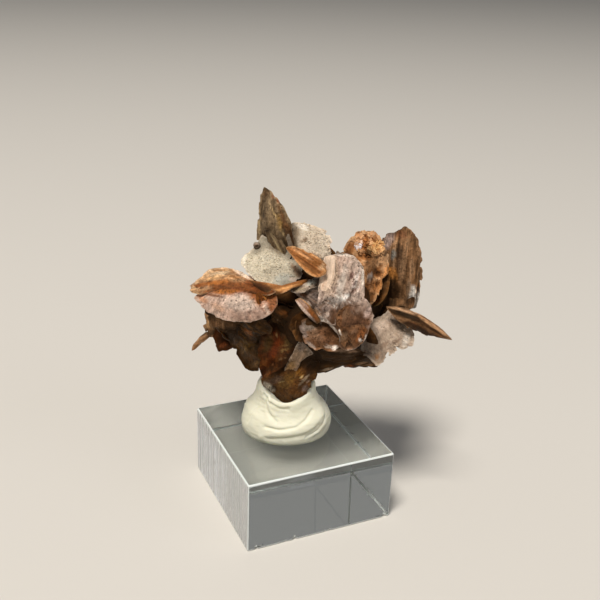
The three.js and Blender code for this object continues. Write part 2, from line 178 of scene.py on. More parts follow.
def lattice_value(corner, seed):
    """A fixed random number from 0 to 1 for each whole-numbered lattice corner: its
    coordinates times large odd numbers, mixed by shifts and cut to 16 bits."""
    mixed = (corner.astype(np.uint64) * LATTICE_FACTORS).sum(-1) + np.uint64(seed * SEED_FACTOR)
    mixed = (mixed ^ (mixed >> FIRST_SHIFT)) * MIXING_FACTOR
    mixed = mixed ^ (mixed >> SECOND_SHIFT)
    return (mixed & np.uint64(SIXTEEN_BITS)).astype(float) / SIXTEEN_BITS


def noise(points, size, seed=0):
    """Value noise from -1 to 1: the lattice numbers of cubes of that size, blended across
    each cube by t*t*(3 - 2*t)."""
    scaled = points / size
    cell = np.floor(scaled)
    t = scaled - cell
    blend = t * t * (3 - 2 * t)
    cell = cell.astype(np.int64)
    total = 0
    for corner in itertools.product((0, 1), repeat=3):
        weight = np.where(np.array(corner), blend, 1 - blend).prod(-1)
        total = total + weight * lattice_value(cell + np.array(corner), seed)
    return 2 * total - 1


def layered(points, size, seed=0, layers=3):
    """Noise with finer layers added, each half as wide and half as strong as the last."""
    total = sum(noise(points, size / 2 ** k, seed + k) / 2 ** k for k in range(layers))
    return total / (2 - 0.5 ** (layers - 1))


def smoothstep(low, high, value):
    """0 before low, 1 after high, and t*t*(3 - 2*t) between them."""
    t = np.clip((value - low) / (high - low), 0, 1)
    return t * t * (3 - 2 * t)


def mix(first, second, share):
    """first + (second - first) * share, for arrays of colours."""
    return first + (second - first) * np.asarray(share)[:, None]


# %% [markdown]
# ## The blades in front
#
# Each front blade has the middle of its plane in the front view (across, up, and depth towards
# the eye), the turn of that plane (yaw to the right and pitch upwards, in degrees), its
# thickness, how flat its face is (2 is a lens, 4 a plate), and the outline that the view shows.
#
# Its form follows: how high its front face bulges (`dome`), how the whole blade is bent
# (`bow`), how strong its cleavage `facets`, its crumpled folds, its growth lines and its growth
# steps are, and how far its edge is chipped (`ragged`). Then its look: the tone, the direction
# of its growth lines (or, as `fan`, the point that they spread from), how sugary and how glossy
# the face is, how strong its mottling, its pale rim (worn pale, and a painted glow of the thin
# edge), its flecks (`speckle`) and the dark of its crevices (painted shade, with some dirt) are,
# and `marks`: stains, painted glints and highlights, and painted shadows, as (across, up, half
# length, half width, angle, colour, strength). What an entry doesn't give is as in PLAIN_LOOK.

# %% Front blades
PLAIN_LOOK = dict(
    flat=3, tone="brown", grain=90, fan=None, lines=0.5, sugar=0.2, gloss=0.4, ragged=0.16, steps=1,
    crumple=0.0, facets=0.9, dome=0.4, bow=0.0, mottle=0.7, rim_light=0.6, speckle=0.6,
    crevice_shade_and_dirt=0.85, marks=())

FRONT_BLADES = [
    # The spire, whose foot ends in a scale of its own
    dict(name="spire", at=(-4.8, 14.1, 1), turn=(-28, 0), thick=3.2, flat=2.2,
        outline=[(-6.8, 21.5), (-5.5, 20.8), (-4, 19), (-2.7, 16.9), (-1.7, 14.5), (-1.1, 11.4),
            (-1.1, 8.8), (-3, 8.2), (-4.6, 8.9), (-6.5, 10.3), (-8.2, 11.4), (-8.4, 13.5), (-8, 16.4),
            (-7.5, 19.9)],
        tone="olive", grain=97, lines=0.6, sugar=0.1, gloss=0.35, ragged=0.12, dome=0.7, mottle=0.8,
        speckle=1.2, rim_light=0.9,
        marks=[(-2.4, 13.6, 4.2, 0.6, -68, "#5e3c20", 0.9), (-3.8, 15, 4.2, 0.2, -66, "#24150a", 0.95),
            (-4.3, 15, 3.6, 0.14, -66, "#b59a6c", 0.7), (-6, 13.2, 0.55, 0.5, 0, "#170f09", 0.95),
            (-6.4, 20.6, 1.2, 0.6, 80, "#4a3522", 0.7), (-5, 19.8, 0.4, 0.3, 40, "#7c3f24", 0.8),
            (-4.2, 18.9, 0.5, 0.25, -50, "#8a4a2a", 0.8), (-3.9, 14.6, 1.7, 0.4, 100, "#94733f", 0.6),
            (-7.9, 15.5, 3.2, 0.25, 95, "#a8946f", 0.6)]),
    dict(name="spire_scale", at=(-4.9, 10.9, 1.9), turn=(-28, -2), thick=1,
        outline=[(-6.7, 13.4), (-5.9, 13.6), (-5.2, 12.6), (-4.2, 11.8), (-3.1, 11.2), (-2.6, 10),
            (-2.9, 8.6), (-3.6, 8.3), (-4.5, 8.9), (-5.7, 10.4), (-6.6, 11.9)],
        tone="olive", grain=118, lines=1.4, sugar=0.1, gloss=0.3, ragged=0.12, steps=0, dome=0, facets=0,
        mottle=0.9, rim_light=0.3, crevice_shade_and_dirt=0.3,
        marks=[(-4.4, 10.6, 2, 0.18, 118, "#a89670", 0.7), (-5.4, 11, 1.8, 0.16, 112, "#2a1d12", 0.8),
            (-3.6, 10.2, 1.4, 0.15, 120, "#33241a", 0.8), (-6.2, 13.2, 0.5, 0.4, 0, "#120c07", 0.95)]),
    # Two sugary discs and the orange lens that cuts in front of them
    dict(name="pale_disc_left", at=(-5.1, 7.2, 3), turn=(-8, 25), thick=2,
        outline=[(0.4, 4.8), (0.2, 6.9), (-1.5, 9.1), (-3.8, 11.4), (-7.2, 12.2), (-9.1, 9.9),
            (-10.9, 8.2), (-10.7, 6.1), (-8.8, 3.6), (-5.7, 2.3), (-2.7, 2.3), (-0.4, 3.2)],
        tone="cream", lines=0.1, sugar=1, gloss=0.1, ragged=0.42, crumple=0.1, dome=0.25, facets=0.4,
        steps=0, mottle=0.5, rim_light=0.9, speckle=0.1, crevice_shade_and_dirt=0.6,
        marks=[(-3.3, 4.1, 1.6, 0.8, 10, "#b9bdb6", 0.6), (-5.9, 7.9, 1.3, 0.6, -10, "#bdb6a6", 0.5),
            (-8.5, 10.7, 0.7, 0.5, 30, "#4a3625", 0.8), (-0.6, 5.4, 1.7, 0.6, -50, "#9a6b45", 0.7),
            (-0.9, 3.9, 1.2, 0.5, 0, "#f1dccb", 0.7), (-10.6, 7.6, 0.9, 0.3, 80, "#efe8d8", 0.8),
            (-4.6, 9.3, 1.4, 0.35, -30, "#8a7355", 0.5)]),
    dict(name="pale_disc_right", at=(2.3, 10.7, 2.2), turn=(5, 14), thick=1.8,
        outline=[(6.5, 9.1), (6.5, 10.9), (5.7, 12.4), (4.2, 13.7), (2.5, 14.1), (0.6, 14.8), (-1.5, 14.5),
            (-2.5, 11.8), (-1.9, 8.6), (0, 6.7), (3.4, 6.9), (5.5, 7.6)],
        tone="blush", lines=0.1, sugar=0.9, gloss=0.15, ragged=0.34, crumple=0.08, dome=0.25, facets=0.4,
        steps=0, mottle=0.4, rim_light=0.9, speckle=0.12,
        marks=[(0.6, 13.9, 1, 0.5, -15, "#efe7da", 0.8), (0.9, 11.4, 0.7, 0.4, 20, "#6b5138", 0.8),
            (-0.8, 12.6, 1.4, 0.7, 70, "#8d765a", 0.7), (-1, 10.4, 1.3, 0.6, 100, "#7e6445", 0.6),
            (6.2, 10.2, 2.4, 0.3, 100, "#f3e2d0", 0.8), (2.4, 8.4, 2.2, 0.8, -10, "#bda087", 0.6)]),
    dict(name="orange_lens", at=(1.1, 7.2, 8.6), turn=(-14, 12), thick=2.2, flat=2,
        outline=[(-2.7, 9.9), (-1.5, 10.4), (0.2, 9.9), (2.1, 9), (3.8, 8), (5, 6.6), (5, 5), (3.4, 4.3),
            (1.5, 5), (-0.2, 6.8), (-1.7, 8.5)],
        tone="orange", grain=-35, lines=0.9, sugar=0.1, gloss=0.5, ragged=0.1, dome=0.8, mottle=0.5,
        rim_light=1, crevice_shade_and_dirt=0.5,
        marks=[(1.9, 6.7, 2.4, 0.35, -38, "#7a4520", 0.8), (4.2, 6.2, 0.9, 0.5, 60, "#e9bd90", 0.8),
            (0.2, 8.9, 2.2, 0.3, -32, "#d9a06e", 0.7)]),
    # The shelf on the left: two lobes with a dark groove between them
    dict(name="shelf_upper", at=(-12.8, 3.6, 6.6), turn=(-6, 52), thick=2.2, flat=2.5,
        outline=[(-21.3, 2.5), (-20.2, 3.6), (-18.5, 4.8), (-17.9, 5.5), (-16.4, 6.1), (-14.3, 6.3),
            (-12.2, 5.9), (-10.3, 4.8), (-7.6, 3), (-4.6, 1.7), (-6.1, 1), (-9.1, 1.5), (-12.4, 2),
            (-16.2, 1.9), (-19, 1.3), (-20.7, 1.6)],
        tone="tan", fan=(-7, 1.5), sugar=0.15, gloss=0.5, ragged=0.2, steps=2, crumple=0.14, dome=0.7,
        mottle=0.6, rim_light=1, speckle=1, crevice_shade_and_dirt=0.15,
        marks=[(-12.5, 2.6, 7.5, 1, -2, "#733c17", 0.95), (-14.4, 1.7, 5, 0.5, 2, "#733c17", 0.95),
            (-7.4, 1.5, 3.2, 0.7, 2, "#6a3413", 0.95), (-15.6, 3.4, 3, 0.4, 8, "#a4642e", 0.7),
            (-19.8, 2.6, 1.4, 0.4, 20, "#7c4520", 0.8), (-9, 2.9, 2.4, 0.7, -28, "#804520", 0.9),
            (-15.6, 5, 1.8, 0.5, 12, "#f0d0a8", 0.8), (-11, 4.9, 1.8, 0.3, -30, "#f6dcc4", 0.8),
            (-12.6, 4.4, 1.4, 0.3, -10, "#9a6434", 0.6), (-16.6, 4.2, 1.6, 0.4, 15, "#e4b27c", 0.7)]),
    dict(name="shelf_lower", at=(-12, -0.8, 9.1), turn=(-4, 12), thick=2.4,
        outline=[(-4.4, 0.8), (-4.2, -0.8), (-5.4, -2.4), (-7.2, -3.6), (-9.7, -4.2), (-12.2, -4.2),
            (-14.8, -3.6), (-17.1, -2.7), (-18.7, -1.3), (-20.2, 0.4), (-19.6, 1.2), (-18, 2.2), (-15, 3),
            (-12, 3.1), (-8.8, 2.4), (-6, 1.8)],
        tone="rose", fan=(-11.5, 5.5), lines=0.4, sugar=0.3, gloss=0.55, ragged=0.12, steps=0,
        crumple=0.08, facets=0.3, dome=0.9, bow=0.045, mottle=0.5, rim_light=0.4, speckle=0.8, crevice_shade_and_dirt=0.1,
        marks=[(-13.6, 2.2, 6.8, 1, 0, "#733c17", 0.95), (-14.2, 1.5, 2.4, 0.5, 4, "#a8662c", 0.7),
            (-7.4, 1.4, 3.8, 1.1, -8, "#723a15", 0.95), (-5.4, -0.4, 2.6, 1.3, -62, "#844819", 0.9),
            (-7.4, -0.8, 2.8, 0.5, -52, "#8c4c20", 0.85), (-8.8, -0.1, 2, 0.25, -50, "#b27a4c", 0.7),
            (-6.4, -1.9, 1.2, 0.3, -60, "#f2d8c4", 0.8), (-17.4, 1, 2.4, 0.25, -8, "#6b3a1a", 0.8),
            (-11.4, -0.6, 3.2, 1.4, -5, "#c4b2a4", 0.7), (-15.6, -1.4, 1.6, 0.6, -30, "#c9a084", 0.6),
            (-18.6, 0.2, 1.3, 0.5, -40, "#c88e66", 0.7)]),
    dict(name="shelf_end", at=(-6.4, -0.6, 9.25), turn=(22, -2), thick=1.2,
        outline=[(-8.4, 1), (-6.6, 1.6), (-4.8, 1.1), (-4.2, 0), (-4.3, -1.1), (-5.5, -2.5), (-6.8, -3.1),
            (-7.6, -1.8), (-8.3, -0.6)],
        tone="band", fan=(-9, 4), lines=0.9, ragged=0.2, steps=0, facets=0.4, crumple=0.12, dome=0.3,
        mottle=0.8, rim_light=0.3, speckle=0.9, crevice_shade_and_dirt=0.2,
        marks=[(-6, 0.2, 1.6, 0.5, -50, "#b5763a", 0.7), (-6.6, -1.6, 1.4, 0.25, -60, "#e4c2a4", 0.7)]),
    dict(name="shelf_edge", at=(-3, 2.2, 8.4), turn=(6, 30), thick=1, flat=2,
        outline=[(-9.6, 3.6), (-7.6, 2.6), (-5.6, 2.1), (-3.4, 2.3), (-1.6, 2.9), (0, 3.6), (1.8, 4.1),
            (1.3, 3.2), (-0.4, 2.5), (-2.2, 1.8), (-4.2, 1), (-6.2, 1), (-8, 2.2)],
        tone="orange", grain=15, gloss=0.5, ragged=0.08, steps=0, facets=0, dome=1, rim_light=1,
        marks=[(-7.6, 2.4, 2.4, 0.9, -20, "#6a3413", 0.95), (-3.5, 2.1, 3.5, 0.3, 15, "#e0a468", 0.8),
            (0.6, 3.2, 1.2, 0.3, 25, "#b8722e", 0.8)]),
    # The shield in the middle, its strip, its foot and the plates at its side
    dict(name="shield", at=(8.3, -0.3, 9), turn=(-2, 3), thick=2.8, flat=4,
        outline=[(5.9, 8.8), (7.2, 9.1), (8.8, 9.1), (10.3, 8.6), (11.4, 7.4), (12.2, 6.1), (12.3, 3.4),
            (12.3, 0.8), (13.4, -0.7), (14.1, -3), (13.1, -5.7), (12.2, -8), (10.7, -9.3), (8.8, -9.6),
            (7.4, -9), (7.5, -7.4), (6.5, -5.8), (5.3, -4.5), (4.2, -3.3), (3.4, -1.4), (3.4, 0.8),
            (3.8, 3.6), (4.4, 6.1), (4.9, 7.8)],
        tone="lilac", grain=68, sugar=0.25, gloss=0.8, ragged=0.15, facets=1.1, dome=0.5, bow=0.018,
        mottle=0.5, rim_light=0.35, speckle=0.9, crumple=0.12, crevice_shade_and_dirt=0.4,
        # Two marks are painted highlights: the near-white spot at (8.6, 0.5) and the pale grey patch at
        # (8, 3.4)
        marks=[(5.9, 4.9, 3.5, 1.2, 84, "#dcc0a6", 0.85), (9.3, -5.4, 5.4, 4.7, 0, "#66432c", 0.95),
            (4.6, -2, 2.2, 1.6, 40, "#74594a", 0.7), (8, 3.4, 3.4, 0.7, 78, "#b7ada2", 0.7),
            (8.6, 0.5, 1, 0.4, 35, "#e2dcd4", 0.9), (6, -0.9, 1.5, 0.14, -28, "#dad4cb", 0.8),
            (6.8, -0.3, 1.4, 0.12, -30, "#54483f", 0.8), (7.6, 0.4, 1.3, 0.12, -34, "#e0dad0", 0.8),
            (7.4, -1.2, 1.3, 0.12, -36, "#5a4a40", 0.7), (8.8, -0.8, 1.2, 0.12, 40, "#d6cabf", 0.8),
            (6.4, 0, 1.8, 0.7, -10, "#837d78", 0.7), (10.5, 3.4, 2.6, 0.4, 76, "#e9dad0", 0.8),
            (9.7, 4.6, 0.8, 0.3, 72, "#5e3634", 0.9), (10.3, 3, 0.5, 0.25, 60, "#5e3634", 0.8),
            (9.9, 1.8, 0.7, 0.25, 40, "#4d2d2a", 0.8), (10.6, 0.6, 0.9, 0.5, 20, "#64443c", 0.7),
            (8.2, 8.6, 2.2, 0.25, -5, "#e6d8ca", 0.8), (11.6, 7, 1.2, 0.25, -50, "#f0dfd0", 0.8),
            (11.9, 4.4, 2.2, 0.22, 88, "#eadfd2", 0.8), (12.9, -2.4, 1.1, 0.5, 60, "#d8bcb0", 0.8),
            (10.2, -8.9, 1.9, 0.3, 15, "#b5835e", 0.7), (12.4, -7.2, 0.7, 0.4, 60, "#eadccf", 0.8),
            (8, -3.2, 1.8, 0.9, 30, "#8a6a50", 0.6), (10.6, -5.6, 1.2, 0.6, -30, "#8f6c54", 0.6),
            (5.8, -4.7, 1.7, 0.22, -48, "#e6d9cc", 0.85), (7.2, -6.9, 0.9, 0.25, -65, "#e2d2c4", 0.8)]),
    dict(name="shield_strip", at=(5.2, 4.9, 8.75), turn=(-14, 4), thick=1.6, flat=4,
        outline=[(4.6, 8.2), (5.8, 8.6), (6.6, 8.4), (6.7, 6.1), (6.5, 3.4), (6.2, 1.7), (3.6, 1.3),
            (3.5, 3), (3.9, 5.7)],
        tone="pink", grain=84, lines=0.4, sugar=0.4, gloss=0.5, ragged=0.06, steps=0, dome=0, facets=0,
        mottle=0.15, rim_light=0.3, speckle=0.3, crevice_shade_and_dirt=0.15,
        marks=[(4.9, 2.6, 1.2, 0.18, -3, "#a87c62", 0.7), (4.9, 3.3, 1.2, 0.14, -3, "#b68a6a", 0.6)]),
    dict(name="shield_foot", at=(3.4, -6.5, 7.6), turn=(-12, -8), thick=2.4,
        outline=[(7.6, -9), (6.7, -9.7), (4.9, -9.9), (2.9, -9.5), (1.3, -8.6), (0.4, -7), (-0.2, -5.1),
            (0.2, -3.8), (1.9, -3.2), (4.2, -3), (6.2, -4.6), (7.6, -6.6)],
        tone="plum", grain=20, lines=0.3, sugar=0.4, gloss=0.6, ragged=0.2, steps=0, facets=1.6,
        crumple=0.24, rim_light=0.3, speckle=1.5, crevice_shade_and_dirt=0.6,
        marks=[(2.6, -6.6, 2.2, 1.2, -20, "#866750", 0.7), (1.6, -5, 1.4, 0.8, 10, "#8f8378", 0.8),
            (4.4, -5.6, 1.2, 0.7, 30, "#5a3a26", 0.8), (0.6, -6, 1.8, 0.5, -72, "#a8968c", 0.8),
            (2, -8.5, 1.1, 0.4, -35, "#b9a99d", 0.7), (6.5, -9.2, 0.6, 0.45, 20, "#f2e8dd", 0.95),
            (5.4, -8.9, 0.8, 0.25, 10, "#d6c2b0", 0.7), (3.8, -4, 0.9, 0.3, -40, "#d8d0c8", 0.8),
            (1.2, -4.4, 0.9, 0.5, 0, "#8b8178", 0.7), (4.7, -8, 1.3, 0.5, 10, "#5b3d2c", 0.6)]),
    dict(name="core_plate", at=(2.9, 1, 6.9), turn=(-14, 6), thick=2.2,
        outline=[(5.9, 3.4), (5.9, 0), (4.4, -2.4), (2.3, -1.5), (0.2, 0.2), (-1.2, 1.6), (-0.4, 3.2),
            (2, 4), (4, 4.6)],
        tone="lilac", grain=-30, lines=0.7, sugar=0.4, gloss=0.6, facets=2.2, crumple=0.16, dome=0.1,
        mottle=0.8, rim_light=0.5, speckle=1, crevice_shade_and_dirt=0.5,
        marks=[(0.4, 2.6, 1.8, 0.7, 10, "#8d8370", 0.7), (2.7, 3.6, 1, 0.8, 30, "#b5b5b0", 0.8),
            (0.4, 1.2, 0.9, 0.5, -30, "#8a4f22", 0.8), (3.4, 0.8, 1.6, 0.8, -20, "#6d6462", 0.7),
            (2.9, -0.9, 1.3, 0.6, -40, "#b98560", 0.8), (2.6, 1.6, 0.8, 0.3, 20, "#3a2116", 0.8)]),
    dict(name="sliver_outer", at=(1.3, -2, 8.2), turn=(-34, -20), thick=0.9,
        outline=[(-0.9, 0), (0.2, 0.5), (1.6, -0.7), (3, -2.3), (4.1, -3.9), (3.3, -4.5), (1.9, -3.4),
            (0.4, -1.9)],
        tone="orange", grain=-45, lines=0.6, gloss=0.6, ragged=0.05, steps=0, facets=0, dome=0,
        rim_light=1,
        marks=[(0.9, -2.1, 2.6, 0.32, -47, "#ecd3c4", 0.9), (0.6, -0.6, 1.3, 0.4, -45, "#c8a898", 0.7),
            (2.6, -2.9, 1.4, 0.35, -48, "#9a5826", 0.8)]),
    dict(name="sliver_inner", at=(3, -1.7, 8.4), turn=(-30, -16), thick=0.7,
        outline=[(1.4, 0.3), (2.5, -0.4), (3.8, -1.5), (4.8, -2.8), (4.2, -3.4), (2.6, -1.9)],
        tone="rose", grain=-42, lines=0.6, gloss=0.6, ragged=0.05, steps=0, facets=0, dome=0, rim_light=1,
        marks=[(3.1, -1.6, 1.9, 0.2, -42, "#e8c4aa", 0.8)]),
    dict(name="core_low", at=(4, -2.4, 9.05), turn=(-12, -4), thick=1.2,
        outline=[(5.6, 0), (6.6, -2.4), (6.8, -4.8), (5, -4.4), (3.4, -4), (2.1, -3.5), (1.7, -2.6),
            (2.8, -1.2), (4, -0.2)],
        tone="lilac", grain=-50, lines=0.6, sugar=0.4, gloss=0.6, ragged=0.2, facets=1.6, crumple=0.24,
        dome=0.1, mottle=0.9, rim_light=0, speckle=1.3, crevice_shade_and_dirt=0.3,
        marks=[(3.9, -3.6, 1.2, 0.5, -20, "#cfc5ba", 0.8), (3.2, -2.2, 1, 0.4, -40, "#9a7450", 0.8),
            (4.8, -1.6, 1.2, 0.6, 10, "#7e6c66", 0.8), (4.4, -2.8, 0.5, 0.25, -30, "#33201a", 0.85),
            (5.6, -3.4, 1, 0.3, -50, "#e4d2c4", 0.7)]),
    dict(name="core_fan", at=(0.4, 2.4, 7.4), turn=(-6, 26), thick=1,
        outline=[(-2.6, 1.9), (-0.6, 2.8), (1.2, 3.6), (3.2, 4.4), (4.4, 3.9), (3.2, 2.4), (1.4, 1.4),
            (-0.6, 1.2)],
        tone="grey", grain=20, lines=0.7, sugar=0.4, gloss=0.6, ragged=0.14, dome=0.1, facets=1.4,
        crumple=0.16, rim_light=0.7, speckle=1, crevice_shade_and_dirt=0.5,
        marks=[(2.2, 3.4, 1.2, 0.5, 30, "#b3b8ae", 0.8), (-0.4, 2, 1.4, 0.4, 10, "#8a7a5c", 0.7)]),
    # The golden disc and the ribbed blades on the right
    dict(name="gold_disc", at=(12.8, 6.5, 3), turn=(14, 8), thick=3, flat=2.6,
        outline=[(8.4, 9.5), (9.1, 11.2), (10.5, 12.6), (11.8, 12.8), (13.3, 13.1), (15, 11.8),
            (16.6, 10.3), (17.1, 8.2), (16.9, 6.1), (16, 3.8), (15.2, 1.3), (14.1, -0.4), (12.6, -1.5),
            (11, 0), (9.9, 3.8), (8.8, 7.2)],
        tone="gold", grain=75, lines=0.3, sugar=0.6, gloss=0.45, ragged=0.3, steps=0, crumple=0.6,
        mottle=0.8, rim_light=0.8, speckle=1,
        # Two marks are painted highlights: the whitish spot at (11.4, 10.6) and the grey patch at (13.3,
        # 4.4)
        marks=[(11.4, 10.6, 0.7, 0.5, 60, "#d9d9de", 0.75), (9.3, 9.9, 1.6, 0.8, 70, "#7c4a25", 0.8),
            (13.6, 6.6, 3, 1.1, 80, "#5b3a1f", 0.8), (13.3, 4.4, 0.8, 0.5, 60, "#85827e", 0.75),
            (13.7, 3.9, 0.4, 0.2, 60, "#33180c", 0.8), (15.9, 4, 3.2, 0.5, 68, "#cf8d52", 0.85),
            (12.4, 1.2, 2.2, 0.9, 75, "#7a4824", 0.7), (14.8, 10.2, 2, 1, 20, "#e0b074", 0.7),
            (12.9, 9.3, 0.8, 0.4, 0, "#2b1a0d", 0.8), (15.6, 8.6, 0.7, 0.3, 60, "#3a2413", 0.7)]),
    dict(name="bark_face", at=(19, 6.1, -3), turn=(-14, 2), thick=2.4, flat=4,
        outline=[(15.6, 11.6), (16.4, 12.6), (17.7, 12.9), (19.2, 13.5), (20, 13.9), (21.1, 13.3),
            (22.1, 12), (22.5, 9.5), (22.7, 6.7), (22.5, 2.9), (21.7, -1.5), (18.7, -1.7), (15.6, -2.3),
            (14.1, -1.7), (14.5, 1.9), (14.8, 7.2)],
        tone="bark", grain=86, lines=1.1, sugar=0.3, gloss=0.3, ragged=0.28, mottle=0.8, rim_light=0.3,
        speckle=0.9,
        # The near-black mark low on the left, at (17.4, 1.6), is painted shadow
        marks=[(17, 11.6, 1.9, 0.9, 65, "#b39c92", 0.85), (17.8, 8.6, 1.1, 0.45, 80, "#6f7674", 0.7),
            (19.2, 12.6, 1.2, 0.8, -20, "#5d3622", 0.7), (18.9, 8, 2.4, 0.6, 85, "#33231a", 0.7),
            (17.4, 5, 1.3, 0.8, -50, "#c27f3c", 0.85), (17.4, 1.6, 3.2, 2.2, 80, "#241407", 0.9),
            (20.6, 1.6, 2.2, 0.4, 85, "#7c6a57", 0.6), (21.4, 0.2, 2.3, 0.65, 84, "#efe8de", 1)]),
    dict(name="bark_back", at=(20.9, 6.1, -4), turn=(-12, 2), thick=2, flat=4,
        outline=[(19, 11.4), (20.2, 13.1), (21.5, 12.9), (22.7, 11.4), (23.2, 8.6), (23.4, 6.1), (23, 2.9),
            (22.7, 0.4), (22.1, -1.5), (20.6, -1.5), (19.2, 0.8), (18.7, 6.7)],
        tone="bark", grain=88, lines=1.1, gloss=0.3, ragged=0.24, mottle=0.8,
        marks=[(22.6, 7, 4, 0.5, 88, "#a37b5a", 0.7), (22.2, 0.2, 1.9, 0.6, 84, "#efe8de", 1)]),
    # The lance and the grey disc under it
    dict(name="lance", at=(22.5, -4.2, 3.4), turn=(6, 16), thick=2.2, flat=1.6,
        outline=[(16.4, -1.3), (18.3, -1.3), (20.6, -1.7), (22.8, -2.7), (24.9, -4), (27, -5.5),
            (29.1, -7.6), (26.7, -7.2), (24.4, -6.9), (21.7, -5.9), (19, -4.4), (17.1, -2.5)],
        tone="bark", grain=-26, lines=1, sugar=0.1, ragged=0.1, dome=1.6, mottle=0.6, rim_light=0.7,
        facets=0.1, steps=0,
        # Painted light and shade: the pale lines along the top are painted light, the near-black mark in
        # the middle is painted shade in the hollow, and the dark marks along the lower half are painted
        # shade of the side that faces down
        marks=[(23.4, -5.6, 5, 0.7, -27, "#633d20", 0.85), (20, -2.1, 3, 0.35, -12, "#c9a07c", 0.8),
            (25.2, -4.9, 3.2, 0.35, -35, "#c99a70", 0.8), (20.4, -3, 3.2, 0.55, -21, "#160903", 1),
            (24.6, -5.2, 2.4, 0.35, -32, "#2a1408", 0.9), (22.2, -5.4, 4, 0.6, -27, "#24110a", 0.9)]),
    dict(name="grey_disc", at=(16.9, -7, 2), turn=(-4, 16), thick=2.2,
        outline=[(12.9, -4.4), (14.8, -3.2), (16.8, -2.1), (19.4, -3), (21.3, -5.1), (21.7, -6.9),
            (21.3, -8.6), (20.2, -9.5), (18.7, -9.5), (17.1, -10.5), (15.8, -11.6), (14.5, -12.6),
            (12.6, -11), (11.4, -8.6)],
        tone="grey", fan=(13.5, -2.5), lines=0.3, sugar=0.5, gloss=0.5, ragged=0.42, facets=0.8, dome=0.2,
        mottle=0.4, rim_light=0.9, speckle=0.5, crevice_shade_and_dirt=0.55,
        marks=[(15.2, -5.2, 2.2, 1, 30, "#c9b5a4", 0.6), (20.3, -7.4, 1.6, 0.7, 70, "#cbc2b6", 0.75),
            (18.6, -7.8, 1, 0.4, 20, "#6d5747", 0.7), (14.2, -11.4, 1.3, 0.6, 60, "#a5713f", 0.8),
            (17.5, -4.6, 1.3, 0.4, -20, "#806754", 0.6), (16, -8.6, 1.2, 0.4, 40, "#7b6452", 0.6)]),
    dict(name="wedge_dark", at=(13.3, -7.2, 1.5), turn=(-35, -10), thick=1.5,
        outline=[(12.9, -4.6), (14.3, -6.5), (15.2, -8.8), (13.5, -9.3), (11.8, -9.5), (11.4, -7.2),
            (12.2, -5.3)],
        grain=60, lines=0.8, gloss=0.5, ragged=0.1),
    # The dark blades below, down to the root blade in the putty
    dict(name="keel_right", at=(8.9, -11.6, -2), turn=(4, -50), thick=2.4, flat=2.5,
        outline=[(3.4, -9.9), (6.5, -8.8), (9.9, -8.6), (13.3, -9.5), (15.6, -11.8), (14.7, -12.8),
            (11.4, -12.8), (8.6, -12.9), (5.7, -13.5), (3.4, -13.9), (2.3, -12.6)],
        tone="dark", grain=5, lines=0.8, gloss=0.6, ragged=0.45, steps=0, crumple=0.25, facets=1.4,
        mottle=0.8, rim_light=0.15, speckle=0.8,
        marks=[(9.6, -10.3, 3, 0.3, 8, "#8f6a52", 0.6), (5, -13.2, 1, 0.3, 10, "#bca48c", 0.8),
            (12.4, -12.2, 1.8, 0.35, 0, "#a07a58", 0.8), (9.2, -12.5, 1, 0.3, 0, "#8a4a1e", 0.8),
            (7, -11.9, 2.2, 0.6, 0, "#6b3214", 0.7)]),
    dict(name="root_blade", at=(-1.5, -13.7, -0.6), turn=(-4, -25), thick=4, flat=2.6,
        outline=[(-0.4, -7.6), (1.1, -8.6), (2.9, -9.9), (3.8, -11.8), (3.2, -14.1), (2.5, -15.8),
            (1.7, -17.3), (0.2, -19.6), (-1.7, -20.6), (-3.4, -20.2), (-5, -19.3), (-6.4, -17.7),
            (-7, -16.2), (-7.4, -14.8), (-5.7, -13.5), (-3.4, -12), (-2.3, -10.3), (-1.3, -8.8)],
        grain=60, sugar=0.25, gloss=0.7, ragged=0.28, steps=0, crumple=0.25, facets=1.2, dome=0.6,
        mottle=0.8, rim_light=0.2, speckle=1.2,
        # The pale marks a fifth of a millimetre wide or less are painted glints
        marks=[(-2.4, -15.2, 2, 1.1, 40, "#664a22", 0.7), (-5, -15.4, 1.8, 0.7, 20, "#6a5546", 0.6),
            (-5.9, -16.6, 1.3, 0.45, -40, "#cfc6b4", 0.75), (2.2, -12.4, 2.6, 0.9, 72, "#2c1608", 0.85),
            (0.8, -15.2, 1.2, 0.2, 50, "#c2ac90", 0.7), (0.9, -16.8, 0.8, 0.5, 50, "#7b675e", 0.8),
            (-0.2, -13.6, 1.2, 0.4, -65, "#8a5a1e", 0.8), (-3, -18, 1.5, 0.5, -10, "#4a301a", 0.7),
            (0.2, -14.8, 0.5, 0.12, 60, "#d8b87e", 0.9), (-3.6, -15.6, 0.5, 0.14, 10, "#a58a5c", 0.8),
            (1.6, -15.4, 0.5, 0.12, 50, "#b0927a", 0.8)]),
    dict(name="root_facet", at=(-0.6, -11, 1.9), turn=(-12, -26), thick=1.2, flat=4,
        outline=[(0, -7.7), (1.2, -8.6), (2.6, -10.1), (1.3, -10.8), (0.3, -11.9), (-0.5, -13.2),
            (-1.5, -14.8), (-3.3, -14.2), (-2.7, -12.5), (-1.5, -10.3), (-0.8, -8.7)],
        tone="grey", grain=62, sugar=0.4, gloss=0.6, ragged=0.08, steps=0, dome=0, facets=0.2, mottle=0.5,
        speckle=0.9, crevice_shade_and_dirt=0.3,
        marks=[(-0.6, -11.4, 3, 1.4, 62, "#7c6044", 0.7), (0.4, -8.8, 1.1, 0.7, 60, "#8f8076", 0.7),
            (-2, -13, 1.6, 0.8, 55, "#86653c", 0.8)]),
    dict(name="dark_blade_left", at=(-9.1, -8.8, -1), turn=(-20, -22), thick=3, flat=2.6,
        outline=[(-13.9, -5.7), (-13.6, -7.6), (-12.8, -9.1), (-12, -11), (-10.2, -12.9), (-8.2, -13.5),
